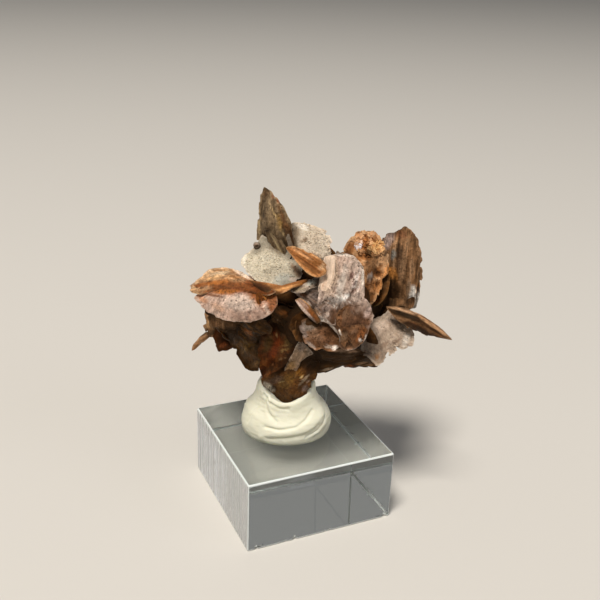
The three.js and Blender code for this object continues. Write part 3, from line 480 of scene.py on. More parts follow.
            (-6.9, -12.9), (-5.3, -9.5), (-5.3, -5.7), (-7.2, -3.4), (-10.7, -2.7), (-12.9, -3.8)],
        tone="dark", grain=70, lines=0.6, gloss=0.6, ragged=0.32, steps=0, crumple=0.42, facets=1.4,
        mottle=0.8, rim_light=0.1, speckle=1,
        # The two thin pale marks at (-10.6, -9.6) and (-7.6, -9.8) are painted glints
        marks=[(-12.2, -6.2, 1.6, 1.2, 40, "#241205", 0.8), (-9.4, -7.8, 2.4, 1, 50, "#5a4018", 0.8),
            (-11.6, -8.6, 1.4, 0.5, 60, "#63400f", 0.7), (-8.4, -12.2, 1.2, 0.5, 20, "#7b5c39", 0.6),
            (-10.6, -9.6, 0.7, 0.1, 50, "#9c7a4c", 0.8), (-7.6, -9.8, 0.9, 0.1, 70, "#8f6634", 0.8)]),
    dict(name="dark_blade_mid", at=(-3.6, -8.9, 2.4), turn=(4, -14), thick=3.2, flat=2.6,
        outline=[(-7.2, -5.7), (-6.1, -3.8), (-3.4, -2.7), (-0.8, -3.8), (0, -6.1), (-0.2, -8.6),
            (-1.5, -11), (-3.8, -13.3), (-6.9, -14.8), (-7.8, -12.6), (-8, -8.6)],
        tone="russet", grain=100, lines=0.4, sugar=0.3, gloss=0.7, ragged=0.22, steps=0, crumple=0.42,
        facets=1.6, mottle=0.9, rim_light=0.05, speckle=1,
        # The narrow pale marks, a fifth of a millimetre wide or less, are painted glints
        marks=[(-4.9, -8.6, 2.8, 1, 75, "#75300f", 0.85), (-1.6, -7, 2.3, 1, 75, "#7d623a", 0.85),
            (-2.6, -5, 1.8, 0.9, 30, "#7d643f", 0.8), (-3.2, -9.6, 0.9, 0.2, 20, "#b08a55", 0.8),
            (-2.4, -8.6, 0.8, 0.18, 10, "#8a6a40", 0.7), (-6, -8.2, 1.6, 0.9, 70, "#4f3a1a", 0.8),
            (-4.4, -6.6, 0.3, 0.1, 60, "#c49a66", 0.9), (-3.4, -11.2, 0.9, 0.1, 20, "#b98f62", 0.8),
            (-5.2, -12.2, 1.2, 0.1, 25, "#a06a44", 0.8), (-1.9, -5.9, 0.4, 0.12, -30, "#c9ab7c", 0.9)]),
    # Tabs and a thorn at the far left
    dict(name="red_tab", at=(-14.7, -7.6, -6), turn=(10, -5), thick=1.8,
        outline=[(-16.6, -6.7), (-16.2, -8.6), (-15.6, -9.9), (-13.7, -9.7), (-12.9, -8.8), (-12.4, -7.2),
            (-12.9, -5.3), (-15.6, -4.9)],
        tone="russet", gloss=0.6, ragged=0.25, steps=0, crumple=0.2, facets=1.6, rim_light=0.1,
        marks=[(-14.6, -8.6, 0.9, 0.4, 20, "#a5562c", 0.6)]),
    dict(name="rough_tab", at=(-16.8, -4.6, -7), turn=(-20, 0), thick=2.2,
        outline=[(-18.3, -2.3), (-17.9, -3.8), (-18.5, -4.9), (-18.1, -5.9), (-17.5, -7), (-16, -6.9),
            (-14.5, -5.3), (-14.1, -2.9), (-16.2, -1.5)],
        tone="bark", grain=80, lines=0.6, sugar=0.5, gloss=0.2, ragged=0.3, crumple=0.3,
        marks=[(-17.4, -4.6, 1.2, 0.5, 80, "#b08a60", 0.7)]),
    dict(name="thorn_left", at=(-19, -8.2, -7), turn=(-20, 20), thick=1.2, flat=2,
        outline=[(-20.6, -9.7), (-20.4, -8.6), (-19.2, -7.2), (-17.9, -6.1), (-16.8, -6.3), (-17.3, -7.2),
            (-19, -8.6), (-20, -9.5)],
        tone="bark", grain=45, lines=0.8, gloss=0.5, ragged=0.08),
]

# Small plates: those in the shadow under the shelf and between the lower blades, the knob on
# the left disc, and four facets of the shield
SMALL_PLATES = [
    dict(name="ledge_amber", at=(-3.2, -2.9, 5), turn=(18, -25), thick=1.4,
        outline=[(-5.6, -2.2), (-3.6, -1.1), (-1.6, -1.5), (-0.5, -3.2), (-1.6, -4.9), (-3.6, -5.1),
            (-5.2, -3.9)],
        grain=-38, lines=1.1, gloss=0.6, ragged=0.3, crumple=0.25, dome=0.1,
        marks=[(-3, -2.6, 1.5, 0.6, -20, "#8a5226", 0.8)]),
    dict(name="plate_under_shelf", at=(-9, -5.2, 4.2), turn=(-25, -28), thick=1, flat=4,
        outline=[(-12.2, -4.2), (-9.5, -3.1), (-6.5, -3.6), (-5.2, -5.6), (-6.8, -7.6), (-9.2, -8),
            (-11.6, -6.5)],
        tone="dark", grain=-38, lines=1.1, gloss=0.6, ragged=0.4, crumple=0.3, dome=0.1,
        marks=[(-9.8, -6.2, 1, 0.4, -45, "#9a5a24", 0.7)]),
    dict(name="plate_by_foot", at=(0.4, -7.2, 5), turn=(30, -10), thick=1.2,
        outline=[(-0.6, -4.1), (0.9, -4.6), (1.6, -6.2), (1.2, -7.4), (0.2, -8.2), (-0.8, -7.6),
            (-1.3, -6.2)],
        grain=80, lines=0.7, gloss=0.6, ragged=0.3, crumple=0.2, dome=0.1),
    dict(name="plate_on_keel", at=(7.6, -10.4, 3), turn=(0, -40), thick=1.2,
        outline=[(3.6, -9.8), (7, -9.1), (10.4, -9.3), (12.8, -10.4), (10.2, -11.7), (7, -12),
            (4.2, -11.4)],
        tone="dark", grain=3, lines=0.8, gloss=0.6, ragged=0.4,
        marks=[(8.4, -9.7, 3.2, 0.3, -4, "#a5856c", 0.7)]),
    dict(name="plate_by_tab", at=(-14.7, -4, 0.5), turn=(-10, -35), thick=1.2,
        outline=[(-17.6, -3.2), (-15, -2.2), (-12.2, -3.2), (-12, -5.4), (-14.6, -6.2), (-17, -5.2)],
        tone="bark", grain=80, lines=0.7, sugar=0.4, gloss=0.3, ragged=0.3, mottle=1),
    dict(name="knob", at=(-8.2, 10.4, 1.4), turn=(-20, 10), thick=1.6, flat=2,
        outline=[(-8.9, 10.4), (-8.6, 11), (-8, 11), (-7.6, 10.5), (-7.9, 9.8), (-8.5, 9.7)],
        tone="grey", grain=30, sugar=0.8, ragged=0.1, dome=0.8, steps=0, mottle=1,
        # The dark mark on it is painted shade
        marks=[(-8.2, 10.3, 0.5, 0.3, 20, "#2a1b10", 0.9)]),
    dict(name="shield_side", at=(11, 3.2, 8.75), turn=(20, 5), thick=1.3, flat=4,
        outline=[(10, 7.1), (11.2, 7.3), (12, 6), (12.2, 3.4), (12.2, 0.7), (11.3, -0.5), (9.7, 0),
            (9.3, 2.2), (9.7, 4.8)],
        tone="lilac", grain=72, lines=0.4, sugar=0.5, gloss=0.6, ragged=0.22, steps=0, facets=0.8,
        dome=0.1, mottle=0.6, rim_light=0.3, speckle=1.4, crevice_shade_and_dirt=0.2,
        marks=[(9.9, 4.6, 0.8, 0.35, 72, "#5e3634", 0.9), (10.4, 3, 0.5, 0.25, 60, "#5e3634", 0.9),
            (10.1, 1.6, 0.7, 0.3, 40, "#4d2d2a", 0.9), (11.2, 3.6, 2.6, 0.3, 84, "#ead9cc", 0.7)]),
    dict(name="shield_belly", at=(10.1, -4.4, 8.9), turn=(12, -12), thick=1.4, flat=4,
        outline=[(7.4, -1.8), (9.4, -0.8), (12.6, -1.4), (13.5, -3.2), (12.7, -5.8), (11.4, -7.4),
            (9.2, -7.8), (7.8, -6.2), (7, -3.8)],
        tone="plum", grain=30, lines=0.3, sugar=0.5, gloss=0.6, ragged=0.3, steps=0, facets=2.2,
        crumple=0.24, dome=0.1, mottle=0.8, rim_light=0.25, speckle=1.6, crevice_shade_and_dirt=0.15,
        marks=[(12.6, -2.4, 1, 0.45, 60, "#d8bcb0", 0.85), (12, -3.4, 1, 0.5, -40, "#a68470", 0.8),
            (9.4, -3.2, 1.6, 0.7, 20, "#54341e", 0.7), (11.6, -6.2, 1.2, 0.5, 50, "#9a6238", 0.8),
            (10.2, -5.2, 0.9, 0.5, 10, "#8c6a54", 0.7), (8.4, -5.8, 0.9, 0.4, -50, "#3c2214", 0.7)]),
    dict(name="sole_right", at=(11.2, -6.6, 9.35), turn=(20, -14), thick=1.1, flat=4,
        outline=[(9.9, -4.9), (12.2, -4.7), (12.9, -6.1), (11.9, -8.3), (10.4, -9), (9.3, -7)],
        tone="plum", grain=50, sugar=0.4, gloss=0.7, steps=0, facets=1, crumple=0.12, dome=0.1, mottle=0.9,
        rim_light=0.4, speckle=1.5, crevice_shade_and_dirt=0.15,
        marks=[(11.6, -6.6, 1.4, 0.6, 60, "#94592f", 0.8), (11.5, -7.6, 0.4, 0.3, 0, "#f0e6da", 0.9),
            (10.2, -6, 0.8, 0.4, 30, "#7d5e48", 0.7)]),
    dict(name="sole_left", at=(8.3, -6.8, 8.95), turn=(-18, -8), thick=1.1, flat=4,
        outline=[(6.7, -4.9), (9.2, -4.6), (9.7, -7), (8.8, -9), (7.7, -8.7), (7.6, -6.9)],
        tone="plum", grain=110, sugar=0.5, gloss=0.6, steps=0, facets=1, crumple=0.12, dome=0.1,
        mottle=0.9, rim_light=0.5, speckle=1.6, crevice_shade_and_dirt=0.2,
        marks=[(7.4, -5.6, 1.2, 0.2, -70, "#e6dacb", 0.85), (8.4, -7, 1, 0.5, 60, "#836850", 0.7)]),
]
print(len(FRONT_BLADES), "front blades and", len(SMALL_PLATES), "small plates")

# %% [markdown]
# ## The blades behind and between
#
# Blades that stand behind, between or under the others are plain lenses: half their length and
# width, a roll in their own plane, a `point` (0 is an oval, 0.5 a spearhead) and a phase that
# varies the outline. The photographed side hides them, so their tones repeat those in front.

# %% Lens blades
LENS_BLADES = [
    dict(name="heart", at=(2.5, -2, -0.5), turn=(0, 0), roll=15, half=(14, 11), point=0, phase=0.4,
        thick=12, tone="dark"),
    dict(name="shield_root", at=(7.8, 0, 3.5), turn=(0, 0), roll=80, half=(8.5, 5), point=0, phase=1.4,
        thick=9.5),
    dict(name="foot_root", at=(3, -4, 4.5), turn=(0, 0), roll=35, half=(5, 4.2), point=0, phase=0.7,
        thick=7.5),
    dict(name="top_front", at=(1.5, 4, 1.5), turn=(0, 10), roll=20, half=(7, 5), point=0, phase=2.6,
        thick=6.5),
    dict(name="heart_left", at=(-7, -3, -1.5), turn=(-20, 0), roll=30, half=(8, 6.5), point=0, phase=1,
        thick=7, tone="dark"),
    dict(name="heart_top", at=(-1, 6.8, -1.5), turn=(0, 10), roll=0, half=(8.2, 6.2), point=0, phase=2,
        thick=6),
    dict(name="heart_right", at=(12, -1, -3.5), turn=(10, 0), roll=80, half=(9.5, 6), point=0, phase=3,
        thick=8, tone="dark"),
    dict(name="root_back", at=(-1.8, -14.5, -6), turn=(160, 10), roll=96, half=(7.5, 3.8), point=0.1,
        phase=1.6, thick=4, steps=2, ragged=0.25),
    dict(name="heart_low", at=(-0.5, -9, -3), turn=(0, -10), roll=0, half=(8.5, 4.5), point=0, phase=0.2,
        thick=6, tone="dark"),
    dict(name="gap_shelf", at=(-9.5, -2.5, 2), turn=(-10, -55), roll=8, half=(8.5, 5), point=0.2,
        phase=0.3, thick=2.2, tone="dark"),
    dict(name="gap_centre", at=(-1.5, 0.5, 4.2), turn=(35, -20), roll=40, half=(4.5, 3), point=0.2,
        phase=1.3, thick=1.8),
    dict(name="gap_right", at=(14.2, 4.5, 0), turn=(-25, 15), roll=95, half=(6, 3), point=0.3, phase=2.3,
        thick=2),
    dict(name="lance_root", at=(17.2, -2.8, -1.6), turn=(0, 30), roll=-10, half=(3.6, 2), point=0.2,
        phase=0, thick=3.4),
    dict(name="gap_low", at=(7.5, -9.8, 1.2), turn=(10, -35), roll=-5, half=(6.5, 3.2), point=0.2,
        phase=0.9, thick=2, tone="dark"),
    dict(name="gap_left_low", at=(-12.2, -5.8, -2), turn=(-15, -30), roll=-20, half=(4.4, 3), point=0.2,
        phase=1.9, thick=2.2, tone="dark"),
    dict(name="back_crown", at=(-0.8, 8.8, -7), turn=(170, 14), roll=0, half=(6.8, 5.6), point=0,
        phase=0.5, thick=2.2, tone="blush", sugar=0.7, steps=2),
    dict(name="back_shield", at=(5, 0, -10.5), turn=(176, 4), roll=70, half=(10, 8.5), point=0, phase=1.5,
        thick=2.6, tone="lilac", gloss=0.7, steps=3, fan=(-8, 0)),
    dict(name="back_left", at=(-10.5, -0.6, -7.5), turn=(-140, 4), roll=14, half=(8.5, 5.2), point=0.1,
        phase=2.5, thick=2.4, tone="rose", steps=2, fan=(-7, 1)),
    dict(name="back_low", at=(-3.4, -7.6, -9), turn=(-170, -28), roll=-15, half=(8.5, 6), point=0.1,
        phase=0.1, thick=2.6, tone="plum", steps=2),
    dict(name="back_right", at=(16.8, 2.2, -9), turn=(150, 6), roll=88, half=(9.8, 5.8), point=0.1,
        phase=3.1, thick=2.6, tone="bark", lines=1.2),
    dict(name="fin_middle", at=(-1.5, 3, -12.5), turn=(100, 6), roll=80, half=(8, 4.5), point=0.35,
        phase=0.8, thick=2, tone="orange", lines=0.9),
    dict(name="fin_left", at=(-8, -2.5, -12), turn=(118, -12), roll=60, half=(7.5, 4.2), point=0.35,
        phase=1.7, thick=2, tone="tan", lines=0.8, steps=2),
    dict(name="fin_right", at=(9.5, 4, -12), turn=(62, 12), roll=-75, half=(6.5, 4.5), point=0.35,
        phase=2.4, thick=2, tone="grey", sugar=0.5),
    dict(name="back_lens_top", at=(11.6, 6.6, -8), turn=(165, 48), roll=-12, half=(7, 4.4), point=0.3,
        phase=2.9, thick=2.4, tone="gold", crumple=0.3),
    dict(name="back_lens_low", at=(9, -9, -7.5), turn=(160, -42), roll=12, half=(9.5, 5), point=0.3,
        phase=0.6, thick=2.6, steps=2),
    dict(name="back_lance", at=(17.5, -4.5, -8.5), turn=(120, -18), roll=10, half=(8, 3.6), point=0.5,
        phase=1.2, thick=2.2, tone="orange", lines=1.1),
    dict(name="back_small_disc", at=(0.5, -2.5, -13.2), turn=(178, -12), roll=0, half=(6, 5), point=0,
        phase=2.2, thick=1.8, tone="cream", sugar=0.9),
    dict(name="back_spear", at=(-4.6, 10.5, -6.5), turn=(-150, 16), roll=78, half=(7.5, 3.2), point=0.5,
        phase=0, thick=2.2, tone="olive", lines=1.1),
    dict(name="side_left", at=(-15.5, -0.5, -3.5), turn=(-95, 12), roll=5, half=(6, 3.4), point=0.2,
        phase=1.1, thick=2, tone="rose"),
    dict(name="side_left_low", at=(-12.5, -4.6, -7), turn=(-120, -20), roll=-10, half=(6.5, 4.2),
        point=0.2, phase=1.8, thick=2.2),
    dict(name="under_right", at=(11.5, -10, -4.5), turn=(30, -62), roll=15, half=(6.5, 4.2), point=0.2,
        phase=2.6, thick=2.2, tone="dark"),
]
print(len(LENS_BLADES), "lens blades")

# %% [markdown]
# ## Planes and outlines
#
# A front outline is what the eye sees, so it is carried along the lines of sight to the
# blade's own plane. There the corners become a smooth closed curve, which is then sampled at
# even steps, with a finer grid for the blades in front than for those mostly hidden.

# %% Outline functions
BLADE_RIM = 0.35
LENS_WOBBLE = 0.06
LENS_SAMPLES = 240
CURVINESS = 0.2
CURVE_SAMPLES = 12
FRONT_SPACING = 0.32
LENS_SPACING = 0.5
FEWEST_STEPS = 24
# Chips: depth and width in mm of two layers of noise, then of the pieces that break out, and
# the noise from which a piece breaks and at which it is out in full
CHIPPING = ((0.9, 1.5), (0.8, 0.6))
BROKEN_OUT = (2.2, 1.0)
BREAKS_AT = (0.3, 0.6)


def plane_turn(yaw, pitch, roll=0):
    """The turn of a blade's plane: its yaw about the view's up, then its pitch, then its roll."""
    return turn_about("Y", yaw) @ turn_about("X", -pitch) @ turn_about("Z", roll)


def on_sight(at):
    """A point of the front view, carried along its line of sight to its depth."""
    across, up, depth = at
    nearness = 1 - depth / EYE_DISTANCE
    return np.array([across * nearness, up * nearness, depth])


def outline_on_plane(outline, middle, turn):
    """Where the lines of sight through the outline meet the plane: eye + share * (aim - eye),
    with the share at which the height over the plane is nought."""
    eye = (np.array([0, 0, EYE_DISTANCE]) - middle) @ turn
    aim = (np.column_stack([outline, np.zeros(len(outline))]) - middle) @ turn
    share = eye[2] / (eye[2] - aim[:, 2])
    return (eye + share[:, None] * (aim - eye))[:, :2]


def even_steps(curve, spacing):
    """Points at even steps along a closed line of points."""
    closed = np.vstack([curve, curve[:1]])
    strides = np.linalg.norm(np.diff(closed, axis=0), axis=1)
    length = np.concatenate([[0], np.cumsum(strides)])
    count = max(FEWEST_STEPS, round(length[-1] / spacing))
    stops = np.linspace(0, length[-1], count, endpoint=False)
    return np.column_stack([np.interp(stops, length, closed[:, axis]) for axis in (0, 1)])


def smooth_closed(corners, spacing):
    """A closed cubic curve through the corners. Between two corners it is the Hermite blend of
    both, with a slope at each of CURVINESS times the step between its two neighbours."""
    slope = CURVINESS * (np.roll(corners, -1, 0) - np.roll(corners, 1, 0))
    after, after_slope = np.roll(corners, -1, 0), np.roll(slope, -1, 0)
    t = np.linspace(0, 1, CURVE_SAMPLES, endpoint=False)[:, None, None]
    curve = (2 * t**3 - 3 * t**2 + 1) * corners + (t**3 - 2 * t**2 + t) * slope
    curve = curve + (3 * t**2 - 2 * t**3) * after + (t**3 - t**2) * after_slope
    return even_steps(curve.transpose(1, 0, 2).reshape(-1, 2), spacing)


def lens_outline(half, point, phase, spacing):
    """An oval whose ends grow pointed: x = a s cos t and y = b s sin t |sin t|^point, where
    s = 1 + wobble (sin(3t + phase) + 0.6 sin(5t + 2.3 phase))."""
    t = np.linspace(0, 2 * math.pi, LENS_SAMPLES, endpoint=False)
    size = 1 + LENS_WOBBLE * (np.sin(3 * t + phase) + 0.6 * np.sin(5 * t + 2.3 * phase))
    x = half[0] * size * np.cos(t)
    y = half[1] * size * np.sin(t) * np.abs(np.sin(t)) ** point
    return even_steps(np.column_stack([x, y]), spacing)


def chipped(rim, middle, amount, seed):
    """The outline pushed in and out from its middle by two widths of noise, with a chip broken
    out where a third noise is high."""
    place = np.column_stack([rim, np.full(len(rim), 3.7 * seed)])
    push = sum(depth * noise(place, width, seed + k) for k, (depth, width) in enumerate(CHIPPING))
    depth, width = BROKEN_OUT
    broken = smoothstep(*BREAKS_AT, noise(place, width, seed + 2))
    push = amount * (push - depth * broken)
    outwards = rim - middle
    return rim + outwards / np.linalg.norm(outwards, axis=1, keepdims=True) * push[:, None]


def counterclockwise(rim):
    x, y = rim.T
    return rim if (x * np.roll(y, -1) - y * np.roll(x, -1)).sum() > 0 else rim[::-1]


def lay_out(entry, seed):
    """A blade's plane and its outline on that plane, with its look filled in."""
    blade = {**PLAIN_LOOK, **entry, "seed": seed, "front": "outline" in entry}
    if blade["front"]:
        blade["middle"] = on_sight(blade["at"])
        blade["turn3"] = plane_turn(*blade["turn"])
        corners = outline_on_plane(np.array(blade["outline"]), blade["middle"], blade["turn3"])
        blade["centre"] = corners.mean(0)
        rim = smooth_closed(corners, FRONT_SPACING)
        if blade["fan"]:
            blade["fan"] = outline_on_plane(
                np.array([blade["fan"]]), blade["middle"], blade["turn3"])[0]
    else:
        blade["middle"] = np.array(blade["at"], float)
        blade["turn3"] = plane_turn(*blade["turn"], blade["roll"])
        blade["grain"] = 0
        blade["centre"] = np.zeros(2)
        rim = lens_outline(blade["half"], blade["point"], blade["phase"], LENS_SPACING)
    blade["rim"] = counterclockwise(chipped(rim, blade["centre"], blade["ragged"], seed))
    blade["spokes"] = blade["rim"] - blade["centre"]
    blade["reach"] = np.linalg.norm(blade["spokes"], axis=1)
    return blade


BLADES = [lay_out(entry, seed)
          for seed, entry in enumerate(FRONT_BLADES + LENS_BLADES + SMALL_PLATES)]
print("rim points in all", sum(len(blade["rim"]) for blade in BLADES))

# %% [markdown]
# ## The surface of a blade
#
# A blade is a surface of two parameters: the way round its rim, and the share of the way out
# from its middle, once over the front face and back again over the other. Both faces bulge
# like a lens and end in a thin round edge. Relief comes on top: slow waves, fine growth lines
# along the grain, steps that follow the outline like stacked plates, sugary grain, flat cleavage
# facets on the front, and crumpled folds on the broken blades and the golden disc's crust. It
# fades out at the rim, so that the edge stays thin.

# %% Blade surface
FAN_REACH = 7
# Powers of the share: how evenly a dome falls to the rim, and how near the rim its edge is
# rounded and its relief fades
FRONT_FALL = 1.8
LENS_FALL = 1.9
RIM_FALL = 8
# Growth steps: depth and raggedness, the shares between which they lie, and their sharpness
STEP_DEPTH = 0.15
STEP_RAGGED = 0.09
STEP_FROM = 0.42
STEP_SPAN = 0.46
STEP_BEFORE = 0.01
STEP_AFTER = 0.015
STEP_LINE = 0.018
# Facets: their seed and number, the share of the reach at which they start, and their slope
FACET_SEED = 501
FACET_LINES = 6
FACET_START = (0.05, 0.6)
FACET_SLOPE = (0.08, 0.26)
RING_STRIDE = 1.25
FEWEST_RINGS = 5
# The share of the rings' spacing that is even; the rest crowds towards the rim
EVEN_RINGS = 0.45
# Relief as height and width in mm; growth lines have a length along the grain besides
WAVES = ((0.16, 4.2), (0.12, 1.9))
GROWTH_LINES = ((0.11, 7, 0.8), (0.05, 4, 0.4))
SUGAR = ((0.06, 0.9), (0.02, 0.5))
FOLDS = ((0.7, 1.7), (0.3, 0.8))
ROUGH = (0.05, 0.7)
BEND = (0.3, 6)
# The golden disc is crumpled only above this place on its plane
CRUST_FROM = (-7, -2)


def face_height(blade, share, side):
    """The height of a face over the blade's plane: a dome of (t - rim)/2 (1 - share^fall), and
    rim/2 sqrt(1 - share^8) for the round edge. The forward face of a front blade has a lower
    dome that falls evenly to the rim, so that its edge is crisp."""
    half = (blade["thick"] - BLADE_RIM) / 2
    if blade["front"]:
        low = blade["dome"] * half * (1 - share ** FRONT_FALL)
        dome = np.where(side > 0, low, half * (1 - share ** blade["flat"]))
    else:
        dome = half * (1 - share ** LENS_FALL)
    return dome + BLADE_RIM / 2 * np.sqrt(np.maximum(0, 1 - share ** RIM_FALL))


def grain_place(blade, xy):
    """Along and across the growth lines, in mm. For a fan, along is the way from the point
    that it spreads from, and across is the angle times FAN_REACH."""
    if blade["fan"] is not None:
        spread = xy - np.array(blade["fan"])
        angle = np.arctan2(spread[:, 1], spread[:, 0])
        return np.column_stack([np.hypot(*spread.T), FAN_REACH * angle])
    angle = math.radians(blade["grain"])
    along = xy @ np.array([math.cos(angle), math.sin(angle)])
    across = xy @ np.array([-math.sin(angle), math.cos(angle)])
    return np.column_stack([along, across])


def growth_steps(blade, place, share):
    """How far each growth step lies below the face, and a thin line along the step's edge:
    a step falls where the share, made ragged by noise, passes its level."""
    ragged_share = share + STEP_RAGGED * layered(place, 2.4, blade["seed"] + 40)
    drop = np.zeros(len(share))
    edge = np.zeros(len(share))
    for k in range(blade["steps"]):
        level = STEP_FROM + STEP_SPAN * (k + 0.5) / blade["steps"]
        drop += STEP_DEPTH * smoothstep(level - STEP_BEFORE, level + STEP_AFTER, ragged_share)
        edge = np.maximum(edge, np.exp(-((ragged_share - level) / STEP_LINE) ** 2))
    return drop, edge


def facets(blade, xy):
    """Flat cleavage facets: beyond each of a few straight lines over the face, the face falls
    by the distance from that line times a slope, and the deepest fall counts."""
    rng = np.random.default_rng(FACET_SEED + 2 * blade["seed"])
    fall = np.zeros(len(xy))
    for direction in rng.random(FACET_LINES) * 2 * math.pi:
        way = (xy - blade["centre"]) @ np.array([math.cos(direction), math.sin(direction)])
        start = blade["reach"].mean() * rng.uniform(*FACET_START)
        fall = np.maximum(fall, rng.uniform(*FACET_SLOPE) * (way - start))
    return fall


def face_relief(blade, xy, share, side):
    """The sum of all relief on a face, in mm, fading as 1 - share^8 towards the rim."""
    seed = blade["seed"]
    place = np.column_stack([xy, 7.3 * seed + 20 * side])
    along, across = grain_place(blade, xy).T
    waves = sum(high * noise(place, wide, seed + k) for k, (high, wide) in enumerate(WAVES))
    lines = sum(high * noise(np.column_stack([along / long, across / wide, place[:, 2]]), 1, seed)
                for high, long, wide in GROWTH_LINES)
    sugar = sum(high * noise(place, wide, seed) for high, wide in SUGAR)
    folds = sum(high * (1 - 2 * np.abs(noise(place, wide, seed + 5 + k)))
                for k, (high, wide) in enumerate(FOLDS))
    rough = ROUGH[0] * noise(place, ROUGH[1], seed + 7)
    crusted = smoothstep(*CRUST_FROM, place[:, 1]) if blade["name"] == "gold_disc" else 1
    crumple = blade["crumple"] * folds * crusted
    drop, edge = growth_steps(blade, place, share)
    flats = blade["facets"] * np.where(side > 0, facets(blade, xy), 0)
    relief = waves + blade["lines"] * lines + blade["sugar"] * sugar + crumple + rough
    relief = relief - drop - flats
    return relief * (1 - share ** RIM_FALL), edge, crumple


def blade_points(blade, grow):
    """All points of a blade in its own plane's frame, ring by ring from the middle of the
    front face over the rim to the middle of the back. grow widens it all round."""
    rim, reach = blade["rim"], blade["reach"]
    stride = np.linalg.norm(rim - np.roll(rim, 1, 0), axis=1).mean() * RING_STRIDE
    rings = max(FEWEST_RINGS, round(reach.mean() / stride))
    t = np.linspace(0, 1, rings + 1)
    ramp = EVEN_RINGS * t + (1 - EVEN_RINGS) * np.sin(t * math.pi / 2)
    share = np.concatenate([ramp[1:], ramp[-2:0:-1]])
    side = np.concatenate([np.ones(rings - 1), [0], -np.ones(rings - 1)])
    widened = share[:, None] * (1 + grow / reach)
    xy = blade["centre"] + widened[..., None] * blade["spokes"]
    xy = np.vstack([xy.reshape(-1, 2), blade["centre"], blade["centre"]])
    share = np.concatenate([np.repeat(share, len(rim)), [0, 0]])
    side = np.concatenate([np.repeat(side, len(rim)), [1, -1]])
    return xy, share, side, 2 * rings - 1


def blade_faces(rings, count):
    """The quads between neighbouring rings, and the triangles that close both middles."""
    i = np.arange(count)
    following = (i + 1) % count
    inner = np.arange(rings - 1)[:, None] * count
    quads = np.stack([inner + i, inner + count + i, inner + count + following,
                      inner + following], axis=-1)
    first, last = rings * count, rings * count + 1
    foot = (rings - 1) * count
    front = np.column_stack([np.full(count, first), i, following])
    back = np.column_stack([np.full(count, last), foot + following, foot + i])
    return quads.reshape(-1, 4), np.vstack([front, back])


def blade_shell(blade, grow=0.0):
    """The blade's points in the front view's frame, with what painting needs to know."""
    xy, share, side, rings = blade_points(blade, grow)
    relief, edge, folds = face_relief(blade, xy, share, side)
    place = np.column_stack([xy, np.full(len(xy), 5.1 * blade["seed"])])
    bend = BEND[0] * noise(place, BEND[1])
    height = side * (face_height(blade, share, side) + relief + grow) + bend
    height -= blade["bow"] * xy[:, 1] ** 2
    local = np.column_stack([xy, height])
    quads, triangles = blade_faces(rings, len(blade["rim"]))
    view = local @ blade["turn3"].T + blade["middle"]
    reach = np.append(np.tile(blade["reach"], rings), [blade["reach"].mean()] * 2)
    return dict(local=local, view=view, share=share, side=side, edge=edge,
                faces=quads.tolist() + triangles.tolist(), from_rim=(1 - share) * reach,
                folds=np.broadcast_to(folds, share.shape))


SHELLS = [blade_shell(blade) for blade in BLADES]
print("blade points in all", sum(len(shell["view"]) for shell in SHELLS))

# %% [markdown]
# ## Colour on the blades
#
# The colour is worked out point by point, because it follows the form: pale along the rim and
# on the edges of the growth steps (worn pale, and a painted glow of the thin edges), streaked
# along the grain, mottled on the faces, darker in the creases of the crumpled folds and paler on
# their ridges (painted shade and painted highlight), and dark where blades meet (painted shade,
# with some settled dirt). The stains, painted glints and highlights, and painted shadows of
# `marks` lie over all but the crevice shade. A probe stands a little off each face, and the
# nearer it comes to another blade, the deeper the point lies in a crevice.

# %% Crevices
PROBE = 0.8
CREVICE_WIDTH = 0.9
CREVICE_STRENGTH = 0.9
TOUCHING = 0.15
PROBED_BEYOND = 2


def gap_to(points, other):
    """About how far points lie from another blade: from its rim where they are beside it, and
    from its face where they are over it, 0 inside it."""
    local = (points - other["middle"]) @ other["turn3"]
    spread = local[:, :2] - other["centre"]
    reach = np.hypot(*spread.T)
    rim_reach = np.interp(np.arctan2(spread[:, 1], spread[:, 0]), other["rim_angle"],
                          other["rim_reach"], period=2 * math.pi)
    share = np.minimum(reach / rim_reach, 1)
    beside = np.maximum(reach - rim_reach, 0)
    height = local[:, 2] + other["bow"] * local[:, 1] ** 2
    above = np.maximum(np.abs(height) - face_height(other, share, height), 0)
    return np.hypot(beside, above)


def crevice_depth(index):
    """1 in a corner between blades, 0 in the open: exp(-(gap / width)^2) at the probes."""
    blade, shell = BLADES[index], SHELLS[index]
    spread = shell["local"][:, :2] - blade["centre"]
    outwards = np.column_stack([spread, np.zeros(len(spread))])
    outwards /= np.maximum(np.linalg.norm(outwards, axis=1, keepdims=True), 1e-6)
    edgeward = (shell["share"] ** 4)[:, None]
    normal = (1 - edgeward) * shell["side"][:, None] * np.array([0, 0, 1]) + edgeward * outwards
    probes = shell["view"] + PROBE * normal @ blade["turn3"].T
    openness = np.ones(len(probes))
    for other in BLADES[:index] + BLADES[index + 1:]:
        near = np.linalg.norm(probes - other["middle"], axis=1) < other["radius"] + PROBED_BEYOND
        if near.any():
            gap = gap_to(probes[near], other)
            nearness = np.exp(-(np.maximum(gap - TOUCHING, 0) / CREVICE_WIDTH) ** 2)
            openness[near] *= 1 - CREVICE_STRENGTH * nearness
    return 1 - openness


for blade in BLADES:
    x, y = blade["spokes"].T
    around = np.arctan2(y, x)
    order = np.argsort(around)
    blade["rim_angle"] = around[order]
    blade["rim_reach"] = np.hypot(x, y)[order]
    blade["radius"] = blade["rim_reach"].max() + blade["thick"] + np.linalg.norm(blade["centre"])
CREVICES = [crevice_depth(index) for index in range(len(BLADES))]
print("mean crevice", round(float(np.concatenate(CREVICES).mean()), 2))

# %% Painting
RIM_WIDTH = 0.55
MARK_RAGGED = 0.45
MARK_EDGE = (1.35, 0.6)
